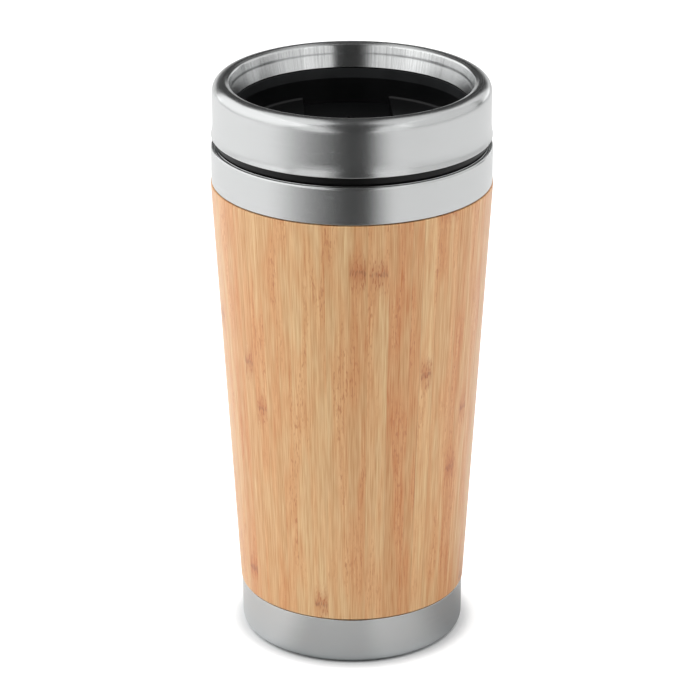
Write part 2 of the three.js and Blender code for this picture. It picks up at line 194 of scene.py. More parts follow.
def rounded(corners: Sequence[Sequence[float]], closed: bool) -> Array:
    """Rounds the corners of a profile.

    A corner B with setback s becomes the circular arc
    ((1-t)^2 A + 2wt(1-t) B + t^2 C) / ((1-t)^2 + 2wt(1-t) + t^2),
    where A and C lie s along its two sides and w is the sine of half the corner's angle. A support point
    past each end keeps the flats flat when they are shaded.

    Args:
        corners: (radius, height, setback) of each corner.
        closed: whether the last corner joins the first; an open profile keeps its two ends.

    Returns:
        The profile's (radius, height) rows.
    """
    table = np.array(corners, float)
    corner = table[:, :2]
    back = np.roll(corner, 1, axis=0) - corner
    ahead = np.roll(corner, -1, axis=0) - corner
    back_length = np.linalg.norm(back, axis=1)
    ahead_length = np.linalg.norm(ahead, axis=1)
    setback = table[:, 2].copy()
    if not closed:
        setback[[0, -1]] = 0.0
    room = CORNER_ROOM * ahead_length / np.maximum(setback + np.roll(setback, -1), MERGE_DISTANCE)
    setback *= np.minimum(1.0, np.minimum(room, np.roll(room, 1)))
    spare = SUPPORT_ROOM * (ahead_length - setback - np.roll(setback, -1))
    back = back / back_length[:, None]
    ahead = ahead / ahead_length[:, None]
    weight = np.sqrt((1.0 - (back * ahead).sum(1)) / 2.0)[:, None, None]
    t = np.linspace(0.0, 1.0, CORNER_STEPS)[None, :, None]
    step = setback[:, None]
    start = (corner + step * back)[:, None]
    end = (corner + step * ahead)[:, None]
    pull = 2.0 * weight * t * (1.0 - t)
    arcs = ((1 - t) ** 2 * start + pull * corner[:, None] + t**2 * end) / ((1 - t) ** 2 + pull + t**2)
    before = start + (np.minimum(SUPPORT * setback, np.roll(spare, 1))[:, None] * back)[:, None]
    after = end + (np.minimum(SUPPORT * setback, spare)[:, None] * ahead)[:, None]
    rows = np.concatenate([before, arcs, after], axis=1).reshape(-1, 2)
    moved = np.linalg.norm(np.diff(rows, axis=0), axis=1) > MERGE_DISTANCE
    return rows[np.concatenate([[True], moved])]


def lathe(profile: Array, closed: bool, girth: float = 1.0) -> Patch:
    """Turns a profile about Z: the point (r, z) at angle a from the front is (r sin a, -r cos a, z).

    Args:
        profile: rows of (radius, height).
        closed: whether the profile joins itself; an open one starts and ends on the axis.
        girth: texture u over a whole turn.

    Returns:
        The turned surface. Texture v is the length along the profile.
    """
    angle = np.linspace(-math.pi, math.pi, COLUMNS + 1)
    radius, height = profile[:, :1], profile[:, 1:]
    level = np.broadcast_to(height, (len(profile), COLUMNS + 1))
    points = np.stack([radius * np.sin(angle), -radius * np.cos(angle), level], -1)
    loop = np.vstack([profile, profile[:1]])
    along = np.concatenate([[0.0], np.cumsum(np.linalg.norm(np.diff(loop, axis=0), axis=1))])
    turn = np.broadcast_to(girth * angle / (2 * math.pi), (len(loop), COLUMNS + 1))
    uv = np.stack([turn, np.broadcast_to(along[:, None], turn.shape)], -1)
    return Patch(points[:, :-1], uv, wrap_rows=closed)


def loft(rings: Sequence[Array], closed: bool) -> Patch:
    """Joins closed outlines one after the next.

    Args:
        rings: outlines of (steps, 3) points, in step with each other.
        closed: whether the last outline joins the first; otherwise both ends are a point or a line.

    Returns:
        The surface through the outlines.
    """
    points = np.stack(rings)
    rows, columns = points.shape[:2]
    v, u = np.meshgrid(np.arange(rows + 1.0), np.linspace(0.0, 1.0, columns + 1), indexing="ij")
    return Patch(points, np.stack([u, v], -1), wrap_rows=closed)


@dataclass(frozen=True)
class Outline:
    """A convex outline round a middle on the lid's centre line, with slightly rounded corners.

    Seen from the middle in direction a, 1/distance is the power mean of the reciprocal distances to each
    side, so the nearest side wins and the corners round off.

    Attributes:
        middle: place of the middle along Y.
        sides: (direction in degrees, distance) of each straight side.
        arc_radius: radius about the lid's axis of the curved side, or 0 for none.
        power: how sharp the corners are.
    """

    middle: float
    sides: tuple[tuple[float, float], ...]
    arc_radius: float = 0.0
    power: float = 40.0

    def ring(self, height: float, inset: float = 0.0) -> Array:
        """Places the outline at a height.

        Args:
            height: its height.
            inset: how far each side is moved in.

        Returns:
            Its points, (steps, 3).
        """
        angle = np.linspace(0.0, 2 * math.pi, OUTLINE_STEPS, endpoint=False)
        near = [
            np.maximum(np.cos(angle - math.radians(way)), 0.0) / (distance - inset)
            for way, distance in self.sides
        ]
        if self.arc_radius:
            along = self.middle * np.sin(angle)
            reach = self.arc_radius - inset
            near.append(1.0 / (np.sqrt(along**2 + reach**2 - self.middle**2) - along))
        largest = np.max(near, axis=0)
        distance = 1.0 / (largest * ((np.stack(near) / largest) ** self.power).sum(0) ** (1.0 / self.power))
        return polar_ring(angle, distance, self.middle, height)


@dataclass(frozen=True)
class Stadium:
    """A rectangle with half-round ends along X, or a circle where it is as wide as it is long."""

    middle: float
    half_width: float
    length: float

    def ring(self, height: float, inset: float = 0.0) -> Array:
        """Places the stadium at a height.

        In direction a the flat side is at b/|sin a|, and the round end, whose middle is m out, at
        m |cos a| + sqrt(b^2 - m^2 sin^2 a), where b is the end's radius.

        Args:
            height: its height.
            inset: how far the outline is moved in.

        Returns:
            Its points, (steps, 3).
        """
        angle = np.linspace(0.0, 2 * math.pi, OUTLINE_STEPS, endpoint=False)
        across = np.abs(np.cos(angle))
        along = np.abs(np.sin(angle))
        end = self.length / 2 - inset
        straight = self.half_width - self.length / 2
        flat = end / np.maximum(along, 1e-9)
        on_end = flat * across > straight
        round_end = straight * across + np.sqrt(np.maximum(end**2 - (straight * along) ** 2, 0.0))
        return polar_ring(angle, np.where(on_end, round_end, flat), self.middle, height)


def polar_ring(angle: Array, distance: Array, middle: float, height: float) -> Array:
    """Points at a distance in each direction from a middle on the lid's centre line.

    Args:
        angle: directions.
        distance: distance in each direction.
        middle: place of the middle along Y.
        height: height of all the points.

    Returns:
        The points, (steps, 3).
    """
    return np.stack(
        [distance * np.cos(angle), middle + distance * np.sin(angle), np.full_like(angle, height)], -1
    )


def shrunk(ring: Array) -> Array:
    """The outline shrunk to its middle point, which closes a flat face."""
    return np.broadcast_to(ring.mean(axis=0), ring.shape)


def slab(shape: Outline | Stadium, bottom: float, top: float, edge: float) -> Patch:
    """A flat plate with bevelled edges.

    Args:
        shape: its outline.
        bottom: height of its underside.
        top: height of its top.
        edge: size of the bevels.

    Returns:
        The closed plate: underside, wall and top as one loft.
    """
    rings = [
        shape.ring(bottom, edge),
        shape.ring(bottom + BEVEL_BEND * edge, BEVEL_BEND * edge),
        shape.ring(bottom + edge),
        shape.ring(top - edge),
        shape.ring(top - BEVEL_BEND * edge, BEVEL_BEND * edge),
        shape.ring(top, edge),
    ]
    return loft([shrunk(rings[0]), *rings, shrunk(rings[-1])], closed=False)


def turned_about_z(patch: Patch, angle: float) -> Patch:
    """The patch turned about Z by an angle in radians."""
    c, s = math.cos(angle), math.sin(angle)
    spin = np.array([[c, -s, 0.0], [s, c, 0.0], [0.0, 0.0, 1.0]])
    return Patch(patch.points @ spin.T, patch.uv, patch.wrap_rows, patch.row_finish)


@dataclass(frozen=True)
class Thread:
    """A two-start thread of rounded teeth that fade out at both ends.

    Attributes:
        lead: rise in one turn.
        sweep: angle that each start covers.
        root: width of a tooth at its foot.
        crest: width of a tooth at its top.
        starts: number of teeth, spread evenly.
        fade: angle over which a tooth rises at each end.
        steps: sections along a tooth.
        shoulder: (share of the tooth's height, share of its root past the crest) where its flank bends.
        crest_ease: share of its root by which the flat of the crest is narrowed.
    """

    lead: float = 9.0 * MM
    sweep: float = math.radians(160)
    root: float = 2.2 * MM
    crest: float = 1.0 * MM
    starts: int = 2
    fade: float = math.radians(12)
    steps: int = 72
    shoulder: tuple[float, float] = (0.85, 0.08)
    crest_ease: float = 0.05

    def teeth(self, foot: float, crest: float, start: float, height: float) -> list[Patch]:
        """Carries the tooth's section along each helix.

        At turn t the section's middle is at height + lead t / 2 pi, and its points run from the foot radius
        to the crest radius and back. The crest comes down to the foot over the fade angle at each end.

        Args:
            foot: radius inside the wall that carries the tooth.
            crest: radius of the tooth's top.
            start: angle where the first tooth starts.
            height: height of its middle there.

        Returns:
            One closed surface for each start.
        """
        turn = np.linspace(0.0, self.sweep, self.steps)[:, None]
        rise = np.clip(np.minimum(turn, self.sweep - turn) / self.fade, 0.0, 1.0)
        rise = np.sin(rise * math.pi / 2)
        bend = self.crest / 2 + self.shoulder[1] * self.root
        flat = self.crest / 2 - self.crest_ease * self.root
        rising = np.array([[0.0, -self.root / 2], [self.shoulder[0], -bend], [1.0, -flat]])
        section = np.vstack([rising, rising[::-1] * (1.0, -1.0)])
        radius = foot + (crest - foot) * rise * section[:, 0]
        z = height + self.lead * turn / (2 * math.pi) + section[:, 1]
        patches = []
        for number in range(self.starts):
            angle = start + turn + 2 * math.pi * number / self.starts
            rings = np.stack([radius * np.cos(angle), radius * np.sin(angle), z], -1)
            patches.append(loft([shrunk(rings[0]), *rings, shrunk(rings[-1])], closed=False))
        return patches


class NodeBook:
    """A short way to add and join the nodes of one material or world."""

    def __init__(self, tree: bpy.types.NodeTree) -> None:
        """Starts with an empty tree."""
        self.tree = tree
        tree.nodes.clear()

    def add(self, kind: str, values: dict | None = None, **settings: object) -> bpy.types.Node:
        """Adds a node.

        Args:
            kind: the node's type, without its ShaderNode prefix.
            values: input name or number, with the value or the socket that feeds it.
            settings: the node's own settings.

        Returns:
            The node.
        """
        node = self.tree.nodes.new("ShaderNode" + kind)
        for name, value in settings.items():
            setattr(node, name, value)
        for key, value in (values or {}).items():
            if isinstance(value, Socket):
                self.tree.links.new(value, node.inputs[key])
            else:
                node.inputs[key].default_value = value
        return node

    def noise(self, vector: Socket, detail: float = 3.0, roughness: float = 0.55) -> Socket:
        """Noise of unit scale at a vector.

        Args:
            vector: where it is read.
            detail: number of finer layers.
            roughness: strength of the finer layers.

        Returns:
            The noise, about 0.5 on average.
        """
        values = {"Vector": vector, "Scale": 1.0, "Detail": detail, "Roughness": roughness}
        return self.add("TexNoise", values).outputs["Fac"]

    def scaled(self, vector: Socket, scale: Sequence[float]) -> Socket:
        """The vector with each part multiplied by its own scale."""
        return self.add("VectorMath", {0: vector, 1: tuple(scale)}, operation="MULTIPLY").outputs[0]

    def place(self) -> Socket:
        """The place on the piece, in metres."""
        return self.add("TexCoord").outputs["Object"]

    def length(self, vector: Socket) -> Socket:
        """Length of a vector."""
        return self.add("VectorMath", {0: vector}, operation="LENGTH").outputs["Value"]

    def sum(self, first: Socket, second: Socket) -> Socket:
        """Sum of two vectors."""
        return self.add("VectorMath", {0: first, 1: second}, operation="ADD").outputs[0]

    def span(self, value: Socket, source: Sequence[float], target: Sequence[float]) -> Socket:
        """Maps a range of values smoothly onto another.

        Args:
            value: what is mapped.
            source: where the range starts and ends.
            target: what these become.

        Returns:
            The mapped value, held at the target's ends.
        """
        values = {0: value, 1: source[0], 2: source[1], 3: target[0], 4: target[1]}
        return self.add("MapRange", values, interpolation_type="SMOOTHSTEP").outputs[0]

    def math(self, operation: str, *values: object) -> Socket:
        """One arithmetic step on numbers or sockets."""
        return self.add("Math", dict(enumerate(values)), operation=operation).outputs[0]

    def mix(self, factor: object, first: object, second: object) -> Socket:
        """Colour between two colours.

        Args:
            factor: 0 for the first colour to 1 for the second.
            first: a socket or a linear colour.
            second: a socket or a linear colour.

        Returns:
            The mixed colour.
        """
        colours = [c if isinstance(c, Socket) else (*c, 1.0) for c in (first, second)]
        return self.add("Mix", {0: factor, 6: colours[0], 7: colours[1]}, data_type="RGBA").outputs[2]

    def bump(self, height: Socket, depth: float, strength: float) -> Socket:
        """Normal bent by a height, of a depth in metres."""
        values = {"Strength": strength, "Distance": depth, "Height": height}
        return self.add("Bump", values).outputs[0]

    def shade(self, values: dict) -> bpy.types.Node:
        """Ends a material in a principled shader with these inputs."""
        shader = self.add("BsdfPrincipled", values)
        self.add("OutputMaterial", {"Surface": shader.outputs[0]})
        return shader


class Finish(Protocol):
    """What every finish can do."""

    def material(self) -> bpy.types.Material:
        """Makes the finish's material."""


def new_material(name: str) -> tuple[bpy.types.Material, NodeBook]:
    """An empty node material and the book that fills it.

    Args:
        name: the material's name.

    Returns:
        The material and its nodes.
    """
    material = bpy.data.materials.new(name)
    material.use_nodes = True
    return material, NodeBook(material.node_tree)


@dataclass(frozen=True)
class BrushedSteel:
    """Satin stainless steel, with fine scratches that run round the piece.

    Attributes:
        name: the material's name.
        colour: reflection colour.
        roughness: mean roughness.
        scratch_width: width of a scratch, across the brushing.
        scratch_length: length over which a scratch changes.
        stretch: how much the highlights stretch across the scratches.
        relief: depth of the scratches.
        drawn: how much upright drawing marks darken the steel.
        drawn_turn: angle over which those marks change.
        drawn_rate: how often they change in a metre of height.
        drawn_colour: what they darken it to.
        band_share: how often the broad bands change along and across, beside a scratch.
        rough_swing: how far the roughness strays from its mean.
        tone_swing: darkest and lightest share of the colour.
        bump: strength of the relief.
    """

    name: str
    colour: Colour = (0.615, 0.625, 0.625)
    roughness: float = 0.26
    scratch_width: float = 0.11 * MM
    scratch_length: float = 16.0 * MM
    stretch: float = 0.5
    relief: float = 0.004 * MM
    drawn: float = 0.0
    drawn_turn: float = math.radians(0.38)
    drawn_rate: float = 90.0
    drawn_colour: Colour = (0.05, 0.05, 0.05)
    band_share: tuple[float, float] = (0.5, 0.12)
    rough_swing: float = 0.015
    tone_swing: tuple[float, float] = (0.985, 1.01)
    bump: float = 0.045

    def material(self) -> bpy.types.Material:
        """Makes the steel: noise drawn out along the scratches sets roughness, tone and relief."""
        material, book = new_material(self.name)
        place = book.place()
        surface = book.add("UVMap", uv_map=UV_NAME).outputs["UV"]
        long = 1.0 / self.scratch_length
        fine, broad = (
            book.sum(
                book.scaled(place, (along * long, along * long, 0.0)),
                book.scaled(surface, (0.0, across / self.scratch_width, 0.0)),
            )
            for along, across in ((1.0, 1.0), self.band_share)
        )
        scratches = book.noise(fine, 4.0, 0.65)
        bands = book.noise(broad, 2.0)
        swing = (self.roughness - self.rough_swing, self.roughness + self.rough_swing)
        rough = book.span(scratches, (0.25, 0.75), swing)
        dark, light = (tuple(share * part for part in self.colour) for share in self.tone_swing)
        tone = book.mix(book.span(bands, (0.3, 0.7), (0.0, 1.0)), dark, light)
        level = book.scaled(place, (1.0, 1.0, 0.0))
        way = book.add("VectorMath", {0: level}, operation="NORMALIZE").outputs[0]
        around = book.scaled(way, (1.0 / self.drawn_turn, 1.0 / self.drawn_turn, 0.0))
        marks = book.noise(book.sum(around, book.scaled(place, (0.0, 0.0, self.drawn_rate))), 1.0)
        tone = book.mix(book.span(marks, (0.4, 0.7), (0.0, self.drawn)), tone, self.drawn_colour)
        tangent = book.add("Tangent", direction_type="UV_MAP", uv_map=UV_NAME).outputs[0]
        book.shade({
            "Base Color": tone,
            "Metallic": 1.0,
            "Roughness": rough,
            "Anisotropic": self.stretch,
            "Anisotropic Rotation": 0.25,
            "Tangent": tangent,
            "Normal": book.bump(scratches, self.relief, self.bump),
        })
        return material


@dataclass(frozen=True)
class Bamboo:
    """Sanded bamboo of glued upright strips, with fibres, reddish dashes and a knuckle on some strips.

    Texture u is the arc length at the mean radius and v the height, in metres, so strips taper with the
    sleeve.

    Attributes:
        name: the material's name.
        strip: mean width of a strip.
        bundle: (width, length) over which a bundle of fibres changes.
        fibre: (width, length) over which a fibre changes.
        hair: (width, length) over which the finest lines change.
        dash: (width, length) of the short dark pores.
        patch: (width, length) over which the hue changes.
        weights: how much strips, bundles, fibres and hairs darken the wood.
        knuckle_spread: height over which the strips' knuckles are strewn.
        knuckle_half: half height of a knuckle's scar.
        knuckle_reach: how far its ragged edge, its stain and its dark pores reach, in half heights.
        strengths: how strong the stain, the pores, the scar and the lines between strips are.
        jitter: how uneven the strips' widths are.
        strip_shift: how far the grain jumps from one strip to the next, along it and in depth.
        grain_roughness: strength of the grain's finer layers.
        gloss: (weight, roughness) of the lacquer.
        relief: depth of the fibres.
        pale: yellow and orange ends of the lightest wood.
        deep: yellow and orange ends of the darkest wood.
        streak: colour of the pores and of the stain round a knuckle.
        knot: colour of a knuckle's scar and of the lines between strips.
    """

    name: str = "sanded_bamboo"
    strip: float = 5.2 * MM
    bundle: tuple[float, float] = (1.1 * MM, 150.0 * MM)
    fibre: tuple[float, float] = (0.33 * MM, 24.0 * MM)
    hair: tuple[float, float] = (0.24 * MM, 9.0 * MM)
    dash: tuple[float, float] = (0.34 * MM, 2.4 * MM)
    patch: tuple[float, float] = (4.0 * MM, 34.0 * MM)
    weights: tuple[float, float, float, float] = (0.36, 0.5, 1.15, 1.1)
    knuckle_spread: float = 215.0 * MM
    knuckle_half: float = 1.1 * MM
    knuckle_reach: tuple[float, float, float] = (4.0, 6.0, 9.0)
    strengths: tuple[float, float, float, float] = (0.45, 0.6, 0.6, 0.4)
    jitter: float = 0.8
    strip_shift: tuple[float, float] = (31.0, 17.0)
    grain_roughness: float = 0.62
    gloss: tuple[float, float] = (0.5, 0.3)
    relief: float = 0.02 * MM
    pale: tuple[Colour, Colour] = (srgb(247, 211, 155), srgb(248, 203, 144))
    deep: tuple[Colour, Colour] = (srgb(208, 135, 70), srgb(211, 123, 56))
    streak: Colour = srgb(198, 112, 58)
    knot: Colour = srgb(152, 82, 48)

    def grain(
        self, book: NodeBook, surface: Socket, shift: Socket, size: Sequence[float], detail: float
    ) -> Socket:
        """Noise drawn out along the strips.

        Args:
            book: the material's nodes.
            surface: texture place.
            shift: offset of the strip's own noise.
            size: (width, length) over which the noise changes.
            detail: number of finer layers.

        Returns:
            The noise, about 0.5 on average.
        """
        place = book.scaled(surface, (1.0 / size[0], 1.0 / size[1], 0.0))
        return book.noise(book.sum(place, shift), detail, self.grain_roughness)

    def strips(self, book: NodeBook, across: Socket, feature: str) -> bpy.types.Node:
        """Cells across the sleeve, one for each strip."""
        values = {"W": book.math("DIVIDE", across, self.strip), "Scale": 1.0, "Randomness": self.jitter}
        return book.add("TexVoronoi", values, voronoi_dimensions="1D", feature=feature)

    def material(self) -> bpy.types.Material:
        """Makes the bamboo: each strip has its own tone, its own run of fibres and perhaps a knuckle."""
        material, book = new_material(self.name)
        surface = book.add("UVMap", uv_map=UV_NAME).outputs["UV"]
        parts = book.add("SeparateXYZ", {0: surface})
        across, along = parts.outputs[0], parts.outputs[1]
        cells = self.strips(book, across, "F1")
        edge = self.strips(book, across, "DISTANCE_TO_EDGE").outputs["Distance"]
        own = book.add("SeparateColor", {0: cells.outputs["Color"]}).outputs
        shift = book.scaled(cells.outputs["Color"], (0.0, *self.strip_shift))
        bundles = self.grain(book, surface, shift, self.bundle, 2.0)
        fine = self.grain(book, surface, shift, self.fibre, 2.0)
        hairs = self.grain(book, surface, shift, self.hair, 1.0)
        dashes = self.grain(book, surface, shift, self.dash, 1.0)
        patches = self.grain(book, surface, shift, self.patch, 1.0)
        depth = book.math("MULTIPLY_ADD", book.math("SUBTRACT", own[0], 0.5), self.weights[0], 0.5)
        for layer, weight in zip((bundles, fine, hairs), self.weights[1:]):
            depth = book.math("MULTIPLY_ADD", book.math("SUBTRACT", layer, 0.5), weight, depth)
        hue = book.span(patches, (0.36, 0.64), (0.0, 1.0))
        tone = book.mix(depth, book.mix(hue, *self.pale), book.mix(hue, *self.deep))
        away = book.math("SUBTRACT", along, book.math("MULTIPLY", own[2], self.knuckle_spread))
        half = self.knuckle_half
        frayed, stained, pored = (share * half for share in self.knuckle_reach)
        stain_most, pore_most, scar_most, line_most = self.strengths
        ragged = book.math("MULTIPLY", book.math("SUBTRACT", dashes, 0.5), frayed)
        ragged = book.math("ABSOLUTE", book.math("ADD", away, ragged))
        inside = book.span(edge, (0.03, 0.16), (0.0, 1.0))
        halo = book.span(book.math("ABSOLUTE", away), (0.0, pored), (1.0, 0.0))
        halo = book.math("MULTIPLY", inside, halo)
        stain = book.math("MULTIPLY", inside, book.span(ragged, (0.0, stained), (stain_most, 0.0)))
        tone = book.mix(stain, tone, self.streak)
        spread = book.math("MAXIMUM", book.span(patches, (0.5, 0.68), (0.0, pore_most)), halo)
        mark = book.math("MULTIPLY", book.span(dashes, (0.54, 0.66), (0.0, 1.0)), spread)
        tone = book.mix(mark, tone, self.streak)
        scar = book.math("MULTIPLY", inside, book.span(ragged, (0.1 * half, half), (scar_most, 0.0)))
        scar = book.math("MULTIPLY", scar, book.span(hairs, (0.38, 0.6), (0.1, 1.0)))
        tone = book.mix(scar, tone, self.knot)
        line = book.span(edge, (0.0, 0.035), (1.0, 0.0))
        line = book.math("MULTIPLY", line, book.span(own[1], (0.4, 0.95), (0.0, line_most)))
        tone = book.mix(line, tone, self.knot)
        relief = book.math("ADD", fine, book.math("MULTIPLY", dashes, 0.5))
        book.shade({
            "Base Color": tone,
            "Roughness": book.span(fine, (0.3, 0.7), (0.4, 0.52)),
            "Specular IOR Level": 0.5,
            "Coat Weight": self.gloss[0],
            "Coat Roughness": self.gloss[1],
            "Normal": book.bump(relief, self.relief, 0.3),
        })
        return material


@dataclass(frozen=True)
class MouldedBlack:
    """Black moulded plastic or silicone with a fine spark-eroded grain.

    Attributes:
        name: the material's name.
        colour: its colour.
        roughness: mean roughness.
        grain: size of the grain.
        relief: depth of the grain.
        specular: strength of its gloss.
        cloud: how often the tone changes, beside the grain.
        dulled: how much paler its dullest places are.
        swing: how far the roughness strays from its mean.
    """

    name: str
    colour: Colour
    roughness: float
    grain: float
    relief: float
    specular: float
    cloud: float = 0.02
    dulled: float = 1.35
    swing: float = 0.05

    def material(self) -> bpy.types.Material:
        """Makes the black finish: grain noise sets the relief, and a broad noise the tone and roughness."""
        material, book = new_material(self.name)
        place = book.place()
        grain = book.noise(book.scaled(place, (1 / self.grain,) * 3), 2.0)
        broad = book.noise(book.scaled(place, (self.cloud / self.grain,) * 3), 2.0)
        dull = tuple(self.dulled * part for part in self.colour)
        swing = (self.roughness - self.swing, self.roughness + self.swing)
        tone = book.mix(book.span(broad, (0.35, 0.7), (0.0, 1.0)), self.colour, dull)
        book.shade({
            "Base Color": tone,
            "Roughness": book.span(broad, (0.3, 0.7), swing),
            "Specular IOR Level": self.specular,
            "Normal": book.bump(grain, self.relief, 0.3),
        })
        return material


STEEL = BrushedSteel("satin_steel")
BASE_STEEL = BrushedSteel("base_steel", colour=(0.585, 0.61, 0.62))
LINER_STEEL = BrushedSteel("liner_steel", roughness=0.2, scratch_width=0.2 * MM, stretch=0.3)
# The bore is the same steel as the ring's outside, painted lighter: a brighter copy that stands in for the
# light the bore catches.
PAINTED_LIGHT_BORE_STEEL = BrushedSteel(
    "bore_steel_painted_lighter", colour=(0.76, 0.77, 0.77), roughness=0.23, scratch_width=0.16 * MM, stretch=0.8, drawn=0.2
)
BAMBOO = Bamboo()
PLASTIC = MouldedBlack("black_moulding", (0.003, 0.0031, 0.0034), 0.36, 0.25 * MM, 0.01 * MM, 0.25)
# The bowl's mouth is the same black moulding, painted lighter: a paler copy that stands in for the light its
# sloping face catches.
PAINTED_LIGHT_MOUTH_PLASTIC = MouldedBlack("bowl_mouth", (0.017, 0.018, 0.019), 0.34, 0.25 * MM, 0.01 * MM, 0.4)
SILICONE = MouldedBlack("black_silicone_rubber", (0.006, 0.006, 0.0065), 0.62, 0.18 * MM, 0.01 * MM, 0.35)


@dataclass
class Piece:
    """One visible piece: its surfaces, its finishes and the CAD nodes that it stands for."""

    name: str
    body: Body
    slot: Slot
    patches: list[Patch]
    finishes: tuple[Finish, ...]
    replaces: tuple[str, ...]

    def build(self, materials: "Materials") -> bpy.types.Object:
        """Makes the mesh object, dresses it and puts it on its body.

        Args:
            materials: the materials made so far.

        Returns:
            The object, at the origin.
        """
        mesh = self.mesh()
        for finish in self.finishes:
            mesh.materials.append(materials.of(finish))
        made = bpy.data.objects.new(self.name, mesh)
        bpy.context.scene.collection.objects.link(made)
        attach(made, self.body.value)
        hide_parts(*self.replaces)
        LOG.info("%s: %d faces on %s", self.name, len(mesh.polygons), self.body.value)
        return made

    def mesh(self) -> bpy.types.Mesh:
        """Puts the patches into one mesh, with seams and poles merged and sharp corners marked."""
        quads, places, finish = (list(part) for part in zip(*[patch.faces() for patch in self.patches]))
        counts = [patch.points.shape[0] * patch.points.shape[1] for patch in self.patches]
        starts = np.concatenate([[0], np.cumsum(counts)[:-1]])
        points = np.concatenate([patch.points.reshape(-1, 3) for patch in self.patches])
        faces = np.concatenate([quad + start for quad, start in zip(quads, starts)])
        mesh = bpy.data.meshes.new(self.name)
        mesh.from_pydata(points.tolist(), [], faces.tolist())
        corners = np.concatenate(places).astype(np.float32).ravel()
        mesh.uv_layers.new(name=UV_NAME).uv.foreach_set("vector", corners)
        mesh.polygons.foreach_set("material_index", np.concatenate(finish).astype(np.int32))
        joined = bmesh.new()
        joined.from_mesh(mesh)
        bmesh.ops.remove_doubles(joined, verts=joined.verts, dist=MERGE_DISTANCE)
        bmesh.ops.dissolve_degenerate(joined, edges=joined.edges, dist=MERGE_DISTANCE)
        joined.to_mesh(mesh)
        joined.free()
        mesh.shade_smooth()
        mesh.set_sharp_from_angle(angle=SHARP_ANGLE)
        return mesh


class Materials:
    """Materials of the finishes, each made once."""

    def __init__(self) -> None:
        """Starts with none made."""
        self.made: dict[Finish, bpy.types.Material] = {}

    def of(self, finish: Finish) -> bpy.types.Material:
        """The finish's material."""
        if finish not in self.made:
            self.made[finish] = finish.material()
        return self.made[finish]


